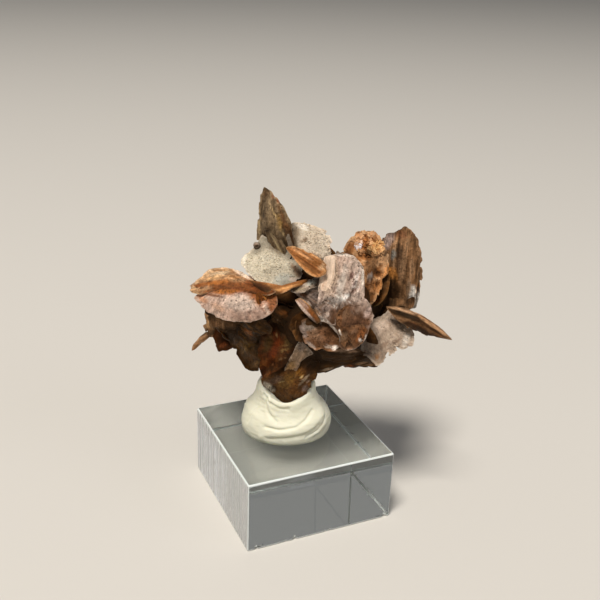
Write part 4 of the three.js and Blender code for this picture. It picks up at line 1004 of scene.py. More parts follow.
# Strengths with which the deep colour and the rim colour are mixed in
MOTTLING = 0.8
DARK_STREAKS = 0.75
LIGHT_STREAKS = 0.5
# Painted shade in the creases of the crumpled folds, and painted highlight on their ridges
FOLD_CREASE_SHADE = 0.8
FOLD_RIDGE_HIGHLIGHT = 0.4
STEP_EDGES = 0.7
# Length and width of the streaks in mm
STREAK = (5, 0.55)


def front_place(view):
    """Where the eye sees a point, on the view plane."""
    return view[:, :2] * (EYE_DISTANCE / (EYE_DISTANCE - view[:, 2]))[:, None]


def mark_cover(seen, place, mark, seed):
    """How far an oval mark covers each point: 1 inside, 0 outside, its edge made ragged."""
    across, up, half_length, half_width, degrees, _, strength = mark
    offset = seen - np.array([across, up])
    angle = math.radians(degrees)
    along = offset @ np.array([math.cos(angle), math.sin(angle)]) / half_length
    beside = offset @ np.array([-math.sin(angle), math.cos(angle)]) / half_width
    reach = np.hypot(along, beside) + MARK_RAGGED * layered(place, 0.9, seed, 2)
    return strength * smoothstep(*MARK_EDGE, reach)


def paint(blade, shell, crevice):
    """The colour of each point with how speckled it is, its finish as sugar, gloss and growth
    lines, and its place along and across the grain."""
    face, deep, rim = TONES_LINEAR[blade["tone"]]
    seed = blade["seed"]
    place = np.column_stack([shell["local"][:, :2], 9.1 * seed + 15 * shell["side"]])
    patches = smoothstep(-0.35, 0.6, layered(place, 3.2, seed + 10, 4))
    colour = mix(np.tile(face, (len(place), 1)), deep, blade["mottle"] * MOTTLING * patches)
    along, across = grain_place(blade, shell["local"][:, :2]).T
    lines = min(1, blade["lines"])
    stretched = np.column_stack([along / STREAK[0], across / STREAK[1], place[:, 2]])
    streak = noise(stretched, 1, seed + 20)
    colour = mix(colour, deep, lines * DARK_STREAKS * smoothstep(0, 0.8, streak))
    colour = mix(colour, rim, lines * LIGHT_STREAKS * smoothstep(0.1, 0.9, -streak))
    # Painted shade in the creases of the crumpled folds, and painted highlight on their ridges
    colour = mix(colour, deep, FOLD_CREASE_SHADE * smoothstep(-0.02, -0.16, shell["folds"]))
    colour = mix(colour, rim, FOLD_RIDGE_HIGHLIGHT * smoothstep(0.12, 0.3, shell["folds"]))
    patchy = smoothstep(-0.5, 0.3, noise(place, 1.8, seed + 31))
    # Paler step edges and rim: worn pale calcite, and a painted glow of light through the thin edges
    colour = mix(colour, rim, STEP_EDGES * blade["rim_light"] * shell["edge"] * patchy)
    thin = smoothstep(RIM_WIDTH, 0, shell["from_rim"] + 0.3 * noise(place, 0.9, seed + 30))
    colour = mix(colour, rim, blade["rim_light"] * thin * (0.4 + 0.6 * patchy))
    # Marks: stains, and among them painted glints, highlights and shadows
    seen = front_place(shell["view"])
    facing = smoothstep(-0.5, 0.2, shell["side"])
    for number, mark in enumerate(blade["marks"]):
        cover = mark_cover(seen, place, mark, seed + number) * facing
        colour = mix(colour, linear(mark[5]), cover)
    # Painted shade in the crevices between blades, with some settled dirt, darker the deeper the crevice
    colour = mix(colour, linear(CREVICE_SHADE_AND_DIRT), blade["crevice_shade_and_dirt"] * crevice)
    sugar = np.clip(blade["sugar"] + 0.3 * noise(place, 2.2, seed + 33), 0, 1)
    gloss = np.clip(blade["gloss"] * (1 - 0.6 * crevice) + 0.2 * noise(place, 1.6, seed + 35), 0, 1)
    finish = np.column_stack([sugar, gloss, np.full(len(place), lines)])
    grain = np.column_stack([along, across, place[:, 2]])
    speckle = blade["speckle"] * (1 + 0.5 * noise(place, 2.6, seed + 37))
    return np.column_stack([colour, speckle]), finish, grain


PAINTED = [paint(*each) for each in zip(BLADES, SHELLS, CREVICES)]
print("painted", len(PAINTED), "blades")

# %% [markdown]
# ## One solid
#
# Crystals that grew together are one body, so the shells are joined by a Boolean modifier over
# a collection, with the exact and quick Manifold solver. What lies inside another blade is
# gone afterwards. Colour and finish are kept as face-corner attributes, because those are
# carried rightly across the cuts.

# %% Joining the blades
def to_part(view):
    """From the front view's frame to the part's, in metres."""
    return (view @ VIEW_TURN.T + VIEW_MIDDLE) * MM


def new_piece(name, points, faces, collection=None):
    mesh = bpy.data.meshes.new(name)
    mesh.from_pydata(points, [], faces)
    piece = bpy.data.objects.new(name, mesh)
    (collection or bpy.context.scene.collection).objects.link(piece)
    return piece


def corner_values(mesh, name, values):
    """Stores three or four values per point as an attribute of the face corners there."""
    corner_point = np.zeros(len(mesh.loops), np.int64)
    mesh.loops.foreach_get("vertex_index", corner_point)
    filled = np.column_stack([values, np.ones(len(values))])[:, :4]
    layer = mesh.attributes.new(name, "FLOAT_COLOR", "CORNER")
    layer.data.foreach_set("color", filled[corner_point].astype(np.float32).ravel())


def blade_object(blade, shell, painted, collection):
    piece = new_piece(blade["name"], to_part(shell["view"]), shell["faces"], collection)
    for name, values in zip(("tint", "finish", "grain"), painted):
        corner_values(piece.data, name, values)
    return piece


def new_collection(name):
    collection = bpy.data.collections.new(name)
    bpy.context.scene.collection.children.link(collection)
    return collection


def remove_collection(collection):
    """Removes a collection with its objects and their meshes."""
    for piece in list(collection.objects):
        mesh = piece.data
        bpy.data.objects.remove(piece)
        bpy.data.meshes.remove(mesh)
    bpy.data.collections.remove(collection)


def boolean_mesh(piece, operation, others):
    """The mesh of a piece joined with, or cut by, the objects of a collection."""
    modifier = piece.modifiers.new(operation.lower(), "BOOLEAN")
    modifier.operation = operation
    modifier.solver = "MANIFOLD"
    modifier.operand_type = "COLLECTION"
    modifier.collection = others
    depsgraph = bpy.context.evaluated_depsgraph_get()
    return bpy.data.meshes.new_from_object(
        piece.evaluated_get(depsgraph), preserve_all_data_layers=True, depsgraph=depsgraph)


def set_shading(piece, sharp_degrees):
    """Smooth shading, in which edges sharper than that angle stay sharp."""
    piece.data.shade_smooth()
    piece.data.set_sharp_from_angle(angle=math.radians(sharp_degrees))


def join_blades():
    first, others = new_collection("first_blade"), new_collection("other_blades")
    homes = [first] + [others] * (len(BLADES) - 1)
    whole, *_ = [blade_object(*each) for each in zip(BLADES, SHELLS, PAINTED, homes)]
    joined = bpy.data.objects.new("calcite_blades", boolean_mesh(whole, "UNION", others))
    bpy.context.scene.collection.objects.link(joined)
    remove_collection(first)
    remove_collection(others)
    return joined


calcite = join_blades()
set_shading(calcite, sharp_degrees=48)
calcite.data.calc_loop_triangles()
print("calcite_blades has", len(calcite.data.loop_triangles), "triangles")
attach(calcite, "root")
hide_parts("calcite_cluster")

# %% [markdown]
# ## Calcite's finish
#
# Calcite is a soft, glassy mineral: clean faces have a satin to glassy lustre, and faces that
# were etched or overgrown are sugary and matt. Light goes a little way into it, which softens
# the shadows in the pale blades. Iron stains give it browns from tan to nearly black, and the
# film of iron that coats its faces makes their reflections weak and warm, so that the dark
# blades stay dark under a pale room. The material takes its broad colour from the mesh and
# adds what is too fine for the mesh: growth lines along the grain, sugar grains a quarter of a
# millimetre wide, dark flecks, and pale flecks that are partly broken calcite and partly
# painted sparkle.

# %% Calcite material
def add_node(tree, kind, settings=None, inputs=None):
    """Adds a node. settings are its properties; inputs are its sockets' values, or the outputs
    that are linked to them."""
    node = tree.nodes.new("ShaderNode" + kind)
    for name, value in (settings or {}).items():
        setattr(node, name, value)
    for key, value in (inputs or {}).items():
        if isinstance(value, bpy.types.NodeSocket):
            tree.links.new(value, node.inputs[key])
        else:
            node.inputs[key].default_value = value
    return node


def per_metre(size_mm):
    """The scale of a texture on Object coordinates whose features are that many mm wide."""
    return 1 / (size_mm * MM)


def limits(low, high, to_low=0.0, to_high=1.0):
    """The range of values that a Map Range node takes, and the range that it gives."""
    return {"From Min": low, "From Max": high, "To Min": to_low, "To Max": to_high}


def colour_socket(hex_colour):
    return (*linear(hex_colour), 1)


def start_material(name):
    material = bpy.data.materials.new(name)
    material.use_nodes = True
    tree = material.node_tree
    tree.nodes.clear()
    shader = add_node(tree, "BsdfPrincipled")
    output = add_node(tree, "OutputMaterial")
    tree.links.new(shader.outputs["BSDF"], output.inputs["Surface"])
    return material, tree, shader


# Sizes in mm, the finest of them a little coarser than in nature, so that the render shows them
SUGAR_GRAIN = 0.26
FINE_LINE = 0.32
LINE_LENGTH = 3.8
FLECK = 0.5
CLOUD = 0.9
RELIEF = 0.22
IRON_FLECK = "#2c190d"
WARM_SHINE = "#f0cfa4"
# How much paler the pale spots are: partly broken calcite, partly painted sparkle
PALE_SPOT_AND_SPARKLE = 1.9
SUGARY = 0.75
CALCITE_IOR = 1.58


def calcite_material():
    material, tree, shader = start_material("iron-stained calcite")
    painted = add_node(tree, "Attribute", {"attribute_name": "tint"}).outputs
    tint, speckle = painted["Color"], painted["Alpha"]
    finish = add_node(tree, "Attribute", {"attribute_name": "finish"}).outputs["Vector"]
    grain = add_node(tree, "Attribute", {"attribute_name": "grain"}).outputs["Vector"]
    parts = add_node(tree, "SeparateXYZ", inputs={"Vector": finish}).outputs
    sugar, gloss, lines = parts["X"], parts["Y"], parts["Z"]
    place = add_node(tree, "TexCoord").outputs["Object"]

    # Growth lines: noise drawn out twelve times as long along the grain as across it
    drawn = add_node(tree, "VectorMath", {"operation": "MULTIPLY"},
                     {0: grain, 1: (1 / LINE_LENGTH, 1 / FINE_LINE, 1)}).outputs[0]
    line_noise = add_node(tree, "TexNoise", inputs={
        "Vector": drawn, "Scale": 1.0, "Detail": 4.0, "Roughness": 0.65}).outputs["Fac"]
    clouds = add_node(tree, "TexNoise", inputs={
        "Vector": place, "Scale": per_metre(CLOUD), "Detail": 5.0,
        "Roughness": 0.7}).outputs["Fac"]
    cells = add_node(tree, "TexVoronoi", inputs={
        "Vector": place, "Scale": per_metre(SUGAR_GRAIN), "Randomness": 1.0})
    cell_tone = add_node(tree, "SeparateXYZ", inputs={"Vector": cells.outputs["Color"]}).outputs["X"]
    flecks = add_node(tree, "TexNoise", inputs={
        "Vector": place, "Scale": per_metre(FLECK), "Detail": 2.0,
        "Roughness": 0.8}).outputs["Fac"]

    # Broad and fine mottling multiply the colour
    line_share = add_node(tree, "MapRange", inputs={
        "Value": line_noise, **limits(0.35, 0.65, 0.52, 1.4)}).outputs["Result"]
    line_effect = add_node(tree, "Mix", {"data_type": "FLOAT"}, {
        "Factor": lines, "A": 1.0, "B": line_share}).outputs["Result"]
    cloud_effect = add_node(tree, "MapRange", inputs={
        "Value": clouds, **limits(0.32, 0.68, 0.44, 1.52)}).outputs["Result"]
    cloud_share = add_node(tree, "Math", {"operation": "MULTIPLY_ADD", "use_clamp": True},
                           {0: speckle, 1: 0.8, 2: 0.2}).outputs[0]
    cloud_effect = add_node(tree, "Mix", {"data_type": "FLOAT"}, {
        "Factor": cloud_share, "A": 1.0, "B": cloud_effect}).outputs["Result"]
    both = add_node(tree, "Math", {"operation": "MULTIPLY"},
                    {0: line_effect, 1: cloud_effect}).outputs[0]
    toned = add_node(tree, "VectorMath", {"operation": "SCALE"},
                     {0: tint, "Scale": both}).outputs[0]

    # Sugar grains are paler or darker one by one
    grain_tone = add_node(tree, "MapRange", inputs={
        "Value": cell_tone, **limits(0, 1, 0.84, 1.14)}).outputs["Result"]
    grain_effect = add_node(tree, "Mix", {"data_type": "FLOAT"}, {
        "Factor": sugar, "A": 1.0, "B": grain_tone}).outputs["Result"]
    sugared = add_node(tree, "VectorMath", {"operation": "SCALE"},
                       {0: toned, "Scale": grain_effect}).outputs[0]

    # Dark flecks of iron, and pale spots that are partly broken calcite and partly painted sparkle
    dark = add_node(tree, "MapRange", inputs={
        "Value": flecks, **limits(0.43, 0.33, 0, 0.75)}).outputs["Result"]
    dark = add_node(tree, "Math", {"operation": "MULTIPLY"}, {0: dark, 1: speckle}).outputs[0]
    flecked = add_node(tree, "Mix", {"data_type": "RGBA"}, {
        "Factor": dark, "A": sugared, "B": colour_socket(IRON_FLECK)}).outputs["Result"]
    pale_spot_and_sparkle_colour = add_node(tree, "VectorMath", {"operation": "SCALE"},
                       {0: sugared, "Scale": PALE_SPOT_AND_SPARKLE}).outputs[0]
    pale = add_node(tree, "MapRange", inputs={
        "Value": flecks, **limits(0.58, 0.7, 0, 0.5)}).outputs["Result"]
    pale = add_node(tree, "Math", {"operation": "MULTIPLY"}, {0: pale, 1: speckle}).outputs[0]
    finished = add_node(tree, "Mix", {"data_type": "RGBA"}, {
        "Factor": pale, "A": flecked, "B": pale_spot_and_sparkle_colour}).outputs["Result"]
    tree.links.new(finished, shader.inputs["Base Color"])

    # Roughness: glassy faces 0.14, plain ones 0.6, sugary ones 0.75
    glassy = add_node(tree, "MapRange", inputs={
        "Value": gloss, **limits(0, 1, 0.6, 0.14)}).outputs["Result"]
    matt = add_node(tree, "Mix", {"data_type": "FLOAT"}, {
        "Factor": sugar, "A": glassy, "B": SUGARY}).outputs["Result"]
    uneven = add_node(tree, "Math", {"operation": "MULTIPLY_ADD"}, {
        0: clouds, 1: 0.24, 2: -0.12}).outputs[0]
    roughness = add_node(tree, "Math", {"operation": "ADD", "use_clamp": True},
                         {0: matt, 1: uneven}).outputs[0]
    tree.links.new(roughness, shader.inputs["Roughness"])

    # Bump: lines, clouds and sugar grains, up to a fifth of a millimetre high
    line_bump = add_node(tree, "Math", {"operation": "MULTIPLY"},
                         {0: line_noise, 1: lines}).outputs[0]
    sugar_bump = add_node(tree, "Math", {"operation": "MULTIPLY"},
                          {0: cells.outputs["Distance"], 1: sugar}).outputs[0]
    sugar_bump = add_node(tree, "Math", {"operation": "MULTIPLY"},
                          {0: sugar_bump, 1: -0.4}).outputs[0]
    heights = add_node(tree, "Math", {"operation": "ADD"}, {0: line_bump, 1: sugar_bump}).outputs[0]
    cloud_bump = add_node(tree, "Math", {"operation": "MULTIPLY_ADD"},
                          {0: clouds, 1: 0.7, 2: heights}).outputs[0]
    bump = add_node(tree, "Bump", inputs={
        "Height": cloud_bump, "Strength": 1.0, "Distance": RELIEF * MM}).outputs["Normal"]
    tree.links.new(bump, shader.inputs["Normal"])

    shader.inputs["IOR"].default_value = CALCITE_IOR
    shader.inputs["Specular IOR Level"].default_value = 0.2
    shader.inputs["Specular Tint"].default_value = colour_socket(WARM_SHINE)
    shader.inputs["Subsurface Weight"].default_value = 0.06
    shader.inputs["Subsurface Radius"].default_value = (1.0, 0.55, 0.3)
    shader.inputs["Subsurface Scale"].default_value = 1.0 * MM
    return material


CALCITE = calcite_material()
calcite.data.materials.clear()
calcite.data.materials.append(CALCITE)
print("material", CALCITE.name)

# %% [markdown]
# ## Druse
#
# The pale discs, the top of the golden disc and parts of the grey one carry a druse: calcite
# crystals an eighth to three quarters of a millimetre long that grew out of the face in all
# directions, the coarsest of them on the golden disc. Each is a small rhomb of twelve
# triangles, and all of them are one mesh made from arrays: the rhomb's corners times a size
# and a turn for each crystal, plus the place on the blade.

# %% Druse crystals
DRUSE = [
    # blade, number, smallest and largest size in mm, share from and to of the way out
    ("gold_disc", 420, 0.2, 0.75, 0.05, 0.97),
    ("pale_disc_left", 500, 0.12, 0.26, 0.05, 1.0),
    ("pale_disc_right", 360, 0.12, 0.24, 0.1, 1.0),
    ("grey_disc", 120, 0.15, 0.36, 0.45, 1.0),
    ("back_crown", 220, 0.25, 0.5, 0.1, 1.0),
    ("back_small_disc", 260, 0.25, 0.55, 0.1, 1.0),
    ("back_lens_top", 160, 0.3, 0.7, 0.2, 0.98),
]
RHOMB = np.array([[0, 0, 0], [1, 0, 0], [1.25, 0.95, 0], [0.25, 0.95, 0],
                  [0.25, 0.3, 0.9], [1.25, 0.3, 0.9], [1.5, 1.25, 0.9], [0.5, 1.25, 0.9]])
RHOMB = RHOMB - RHOMB.mean(0)
RHOMB_FACES = np.array([[0, 3, 2, 1], [4, 5, 6, 7], [0, 1, 5, 4], [1, 2, 6, 5], [2, 3, 7, 6],
                        [3, 0, 4, 7]])
DRUSE_SEED = 26
# The druse of the golden disc: its middle in the front view and its half width and height
CRUST_MIDDLE = (13.6, 10.6)
CRUST_HALF = (3.0, 2.4)
DEEPEST_SITE = 0.6
MOSTLY_SMALL = 2.2
# How far crystals stray from their points on the blade, and how deep they sit in it, in mm
SCATTER = np.array([0.12, 0.12, 0.036])
SUNK = 0.02
DRUSE_SUGAR = 0.3
DRUSE_GLOSS = 0.7


def random_turns(rng, count):
    """Turns from random unit quaternions, as 3 x 3 matrices."""
    w, x, y, z = rng.normal(size=(count, 4)).T
    norm = np.sqrt(w * w + x * x + y * y + z * z)
    w, x, y, z = w / norm, x / norm, y / norm, z / norm
    rows = [[1 - 2 * (y * y + z * z), 2 * (x * y - w * z), 2 * (x * z + w * y)],
            [2 * (x * y + w * z), 1 - 2 * (x * x + z * z), 2 * (y * z - w * x)],
            [2 * (x * z - w * y), 2 * (y * z + w * x), 1 - 2 * (x * x + y * y)]]
    return np.array(rows).transpose(2, 0, 1)


def druse_sites(name, number, from_share, to_share, rng):
    """Points of a blade's front face, picked at random, with the blade's crevices left out."""
    index = next(i for i, blade in enumerate(BLADES) if blade["name"] == name)
    blade, shell = BLADES[index], SHELLS[index]
    fit = (shell["side"] > 0) & (shell["share"] >= from_share) & (shell["share"] <= to_share)
    if name == "gold_disc":
        seen = front_place(shell["view"])
        fit &= np.hypot(*((seen - CRUST_MIDDLE) / CRUST_HALF).T) < 1
    fit &= CREVICES[index] < DEEPEST_SITE
    return index, rng.choice(np.nonzero(fit)[0], number)


def druse_crystals():
    rng = np.random.default_rng(DRUSE_SEED)
    points, tints = [], []
    for name, number, smallest, largest, from_share, to_share in DRUSE:
        index, choice = druse_sites(name, number, from_share, to_share, rng)
        blade, shell = BLADES[index], SHELLS[index]
        size = smallest + (largest - smallest) * rng.random(number) ** MOSTLY_SMALL
        stretch = 0.7 + 0.7 * rng.random((number, 3))
        corners = RHOMB[None] * (size[:, None] * stretch)[:, None, :]
        corners = np.einsum("nij,nkj->nki", random_turns(rng, number), corners)
        jitter = rng.normal(size=(number, 3)) * SCATTER
        spot = shell["local"][choice] + jitter - [0, 0, SUNK]
        local = spot[:, None, :] + corners
        points.append((local @ blade["turn3"].T + blade["middle"]).reshape(-1, 3))
        # The blade's colour there, a little darker or paler, and no flecks
        paleness = (0.9 + 0.35 * rng.random(number))[:, None]
        tint = PAINTED[index][0][choice] * np.hstack([np.repeat(paleness, 3, 1), 0 * paleness])
        tints.append(np.repeat(tint, len(RHOMB), 0))
    points, tints = np.vstack(points), np.vstack(tints)
    first_corners = np.arange(0, len(points), len(RHOMB))
    faces = (RHOMB_FACES[None] + first_corners[:, None, None]).reshape(-1, 4)
    piece = new_piece("calcite_druse", to_part(points), faces.tolist())
    corner_values(piece.data, "tint", np.clip(tints, 0, 1))
    corner_values(piece.data, "finish", np.tile([DRUSE_SUGAR, DRUSE_GLOSS, 0], (len(points), 1)))
    corner_values(piece.data, "grain", points)
    piece.data.materials.append(CALCITE)
    return piece


druse = druse_crystals()
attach(druse, "root")
print("druse crystals:", len(druse.data.polygons) // len(RHOMB_FACES))

# %% [markdown]
# ## The putty
#
# White mounting putty is a soft, oily compound that keeps the marks of the thumbs that pressed
# it. It is rolled to a ball, set on the block and pushed up round the root blade, which leaves
# a collar that is low in front and stands in two horns beside the blade, a fold where the ball
# was squeezed, and a crease across the front. The form is a profile from foot to bowl, carried
# round an oval, with the fold, the crease and the dents added to its radius.

# %% Putty surface
PUTTY_HALF_WIDTH = 8.6
PUTTY_HALF_DEPTH = 6.5
PUTTY_REACH = 7.5
PUTTY_HEIGHT = 11.6
PUTTY_CENTRE = np.array([-1.2, 0.5])
PUTTY_FOOT_GAP = 0.02
COLLAR_DIP = 0.28
PUTTY_PROFILE = np.array([
    (0, 0), (0.8, 0), (0.94, 0), (1, 0.08), (1.02, 0.2), (1.01, 0.34), (0.95, 0.49), (0.8, 0.62),
    (0.71, 0.76), (0.67, 0.94), (0.6, 1), (0.5, 0.95), (0.3, 0.84), (0, 0.8)])
PUTTY_ROUND = 260
PUTTY_UP = 170
SOFTENING = 4
POLE_GAP = 1e-7
PUTTY_CLEARANCE = 0.08
PUTTY_SEED = 71

# Ridges and creases as lines of (angle round the oval in degrees, height in mm), with a depth
# that is negative for a crease, and a width in mm
PUTTY_LINES = [
    ([(-139, 9.4), (-124, 8.3), (-103, 7.3), (-84, 7.1)], -0.32, 0.32),
    ([(-128, 9.0), (-112, 7.9), (-95, 7.5)], 0.16, 0.7),
    ([(-120, 1.7), (-108, 2.4), (-81, 2.9), (-59, 3.5), (-38, 4.9), (-20, 6.4)], 0.28, 0.9),
    ([(-112, 1.6), (-84, 2.0), (-60, 2.5), (-40, 3.7)], -0.22, 0.45),
    ([(-50, 1.2), (-30, 2.0), (-8, 3.4)], -0.2, 0.4),
    ([(-150, 3.5), (-146, 6.5), (-149, 9.5)], -0.14, 0.35),
    ([(-118, 3.7), (-97, 3.5), (-75, 4.0), (-56, 5.1), (-40, 6.5)], -0.26, 0.26),
    ([(-60, 1.8), (-42, 2.8), (-26, 4.2), (-14, 5.6)], -0.24, 0.24),
    ([(-128, 9.6), (-131, 8.0), (-126, 6.6), (-114, 5.6), (-104, 4.8)], -0.24, 0.28),
    ([(-121, 9.2), (-124, 7.8), (-118, 6.7), (-108, 6.0)], 0.16, 0.4),
    ([(60, 3.2), (90, 2.6), (125, 3.6), (150, 5.2)], -0.25, 0.4),
    ([(20, 6.5), (48, 5.6), (80, 6.6)], 0.2, 0.8),
]
# Thumb dents: angle, height, width round and up in mm, depth
PUTTY_DENTS = [
    (-70, 5.6, 4.2, 2.6, 0.35), (-170, 5.0, 3.5, 3.0, 0.4), (-10, 7.5, 3.0, 2.6, 0.3),
    (100, 6.0, 4.4, 3.2, 0.4), (45, 4.0, 3.0, 2.2, 0.3)]


def line_distance(angle, height, line):
    """The distance in mm of each point of the unrolled surface from a line over it."""
    reach = (PUTTY_HALF_WIDTH + PUTTY_HALF_DEPTH) / 2
    stops = np.array(line, float) * [math.radians(1) * reach, 1]
    place = np.stack([angle * reach, height], axis=-1)
    nearest = np.full(angle.shape, np.inf)
    for start, end in zip(stops[:-1], stops[1:]):
        way = end - start
        share = np.clip(((place - start) @ way) / (way @ way), 0, 1)
        nearest = np.minimum(nearest, np.linalg.norm(place - start - share[..., None] * way, axis=-1))
    return nearest


def putty_grid():
    """Angle by level: x = a r cos, y = b r sin, z = h level collar, with r and level from the
    profile, the collar lowered in front, and r changed by folds, dents and fine wrinkles."""
    angle = np.linspace(-math.pi, math.pi, PUTTY_ROUND, endpoint=False)[:, None]
    strides = np.linalg.norm(np.diff(PUTTY_PROFILE * [PUTTY_REACH, PUTTY_HEIGHT], axis=0), axis=1)
    length = np.concatenate([[0], np.cumsum(strides)])
    stops = np.linspace(0, length[-1], PUTTY_UP)
    reach, level = (np.interp(stops, length, column) for column in PUTTY_PROFILE.T)
    # The corners of the profile are softened by a bell-shaped average
    bell = np.exp(-0.5 * np.linspace(-2, 2, 2 * SOFTENING + 1) ** 2)
    bell /= bell.sum()
    inner = slice(SOFTENING, -SOFTENING)
    reach[inner], level[inner] = (np.convolve(column, bell, "valid") for column in (reach, level))
    front = np.maximum(0, -np.sin(angle)) ** 2
    collar = 1 - COLLAR_DIP * front * smoothstep(0, 0.3, reach)
    wobble = 1 + 0.02 * np.sin(2 * angle + 5 * level)
    height = PUTTY_HEIGHT * level * collar
    oval = np.stack([PUTTY_HALF_WIDTH * np.cos(angle), PUTTY_HALF_DEPTH * np.sin(angle)], axis=-1)
    push = np.zeros(height.shape)
    wide_angle = np.broadcast_to(angle, height.shape)
    for line, depth, width in PUTTY_LINES:
        push += depth * np.exp(-(line_distance(wide_angle, height, line) / width) ** 2)
    for dent_angle, up, wide, high, depth in PUTTY_DENTS:
        turn = np.angle(np.exp(1j * (angle - math.radians(dent_angle)))) * PUTTY_REACH
        push -= depth * np.exp(-(turn / wide) ** 2 - ((height - up) / high) ** 2)
    place = np.stack([oval[..., 0] * reach, oval[..., 1] * reach, height], axis=-1)
    push += 0.12 * noise(place, 2.4, PUTTY_SEED)
    push += 0.05 * noise(place * [1, 1, 2.4], 0.9, PUTTY_SEED + 1)
    rise = smoothstep(0.02, 0.1, level) * smoothstep(0.05, 0.5, reach)
    spread = (wobble * reach + push * rise / PUTTY_REACH)[..., None] * oval
    return np.concatenate([spread, height[..., None]], axis=-1)


def grid_faces(around, levels):
    """Quads of a grid that closes round itself, whose ends are drawn in to a point each."""
    i = np.arange(around)[:, None]
    j = np.arange(levels - 1)
    following = (i + 1) % around
    quads = np.stack([i * levels + j, following * levels + j, following * levels + j + 1,
                      i * levels + j + 1], axis=-1)
    return quads.reshape(-1, 4)


def close_poles(piece):
    """Merges the points that lie on one another where the grid is drawn in to a point."""
    work = bmesh.new()
    work.from_mesh(piece.data)
    bmesh.ops.remove_doubles(work, verts=work.verts, dist=POLE_GAP)
    work.to_mesh(piece.data)
    work.free()


def cut_by_blades(piece):
    """Takes the blades, grown by a thin clearance, out of the putty that holds them."""
    cutters = new_collection("cutters")
    for blade in BLADES:
        shell = blade_shell(blade, grow=PUTTY_CLEARANCE)
        points = to_part(shell["view"])
        if (points.min(0) < putty_high * MM).all() and (points.max(0) > putty_low * MM).all():
            new_piece("cutter_" + blade["name"], points, shell["faces"], cutters)
    mesh = boolean_mesh(piece, "DIFFERENCE", cutters)
    piece.modifiers.clear()
    piece.data = mesh
    remove_collection(cutters)


def make_putty():
    grid = putty_grid()
    points = grid.reshape(-1, 3) @ turn_about("Z", VIEW_AZIMUTH).T
    points = points + [*PUTTY_CENTRE, block_high[2] + PUTTY_FOOT_GAP]
    piece = new_piece("pressed_putty", points * MM, grid_faces(*grid.shape[:2]).tolist())
    close_poles(piece)
    cut_by_blades(piece)
    set_shading(piece, sharp_degrees=50)
    return piece


putty = make_putty()
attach(putty, "root")
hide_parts("mounting_putty")
print("putty faces:", len(putty.data.polygons))

# %% [markdown]
# ## Putty's finish
#
# The compound is chalk in a soft synthetic rubber. Chalk makes it white and lets light a few
# millimetres in, the rubber gives it a low, waxy sheen, and it is a little yellower in patches.
# Handling leaves it faintly wrinkled.

# %% Putty material
# Widths in mm; the chalk grains are drawn coarser than they are, so that the render shows them
TINT_CLOUD = 3.5
WRINKLE = 0.7
CHALK_GRAIN = 0.22
CHALK_WHITE = "#e7e7d5"
SHADED_WHITE = "#dedcc4"


def putty_material():
    material, tree, shader = start_material("white mounting putty")
    place = add_node(tree, "TexCoord").outputs["Object"]
    clouds = add_node(tree, "TexNoise", inputs={
        "Vector": place, "Scale": per_metre(TINT_CLOUD), "Detail": 4.0,
        "Roughness": 0.6}).outputs["Fac"]
    colour = add_node(tree, "Mix", {"data_type": "RGBA"}, {
        "Factor": clouds, "A": colour_socket(CHALK_WHITE),
        "B": colour_socket(SHADED_WHITE)}).outputs["Result"]
    tree.links.new(colour, shader.inputs["Base Color"])
    wrinkles = add_node(tree, "TexNoise", inputs={
        "Vector": place, "Scale": per_metre(WRINKLE), "Detail": 3.0,
        "Roughness": 0.5, "Distortion": 0.6}).outputs["Fac"]
    chalk = add_node(tree, "TexNoise", inputs={
        "Vector": place, "Scale": per_metre(CHALK_GRAIN), "Detail": 2.0}).outputs["Fac"]
    heights = add_node(tree, "Math", {"operation": "MULTIPLY_ADD"},
                       {0: chalk, 1: 0.25, 2: wrinkles}).outputs[0]
    bump = add_node(tree, "Bump", inputs={
        "Height": heights, "Strength": 0.35, "Distance": 0.08 * MM}).outputs["Normal"]
    tree.links.new(bump, shader.inputs["Normal"])
    sheen = add_node(tree, "MapRange", inputs={
        "Value": wrinkles, **limits(0, 1, 0.42, 0.62)}).outputs["Result"]
    tree.links.new(sheen, shader.inputs["Roughness"])
    shader.inputs["IOR"].default_value = 1.5
    shader.inputs["Subsurface Weight"].default_value = 0.35
    shader.inputs["Subsurface Radius"].default_value = (1.0, 0.85, 0.6)
    shader.inputs["Subsurface Scale"].default_value = 1.6 * MM
    return material


putty.data.materials.clear()
putty.data.materials.append(putty_material())
print("material", putty.data.materials[0].name)

# %% [markdown]
# ## The acrylic block
#
# The display block is cast acrylic, sawn from a sheet and polished. Its edges are broken by a
# narrow round that is ground and not polished, and painted an opaque pale grey that is partly
# a painted highlight along the edges; the bottom edge in front has a few nicks, and one side
# was sawn and only half polished, so that it keeps upright saw marks. The form is a profile
# (half of the underside, the round edge, the side, the upper edge and half of the top) carried
# round a square with round corners. Each face belongs to one of three finishes: polished,
# ground or sawn.

# %% Block surface
BLOCK_EDGE = 0.3
SIDE_STEPS = 110
CORNER_STEPS = 4
EDGE_STEPS = 6
SIDE_LEVELS = 26
NICK = 0.3
NICK_HEIGHT = 0.8
NICK_SEED = 81
# Each width of nicks in mm, and the noise at which one starts and at which it is full
NICKS = ((1.1, 0.5, 0.85), (0.5, 0.55, 0.9))
SAW_MARK = 0.05
SAW_SEED = 83
# What lies further left than this is the sawn side
SAWN_FROM = -(block_high[0] - block_low[0]) / 2 + 0.12


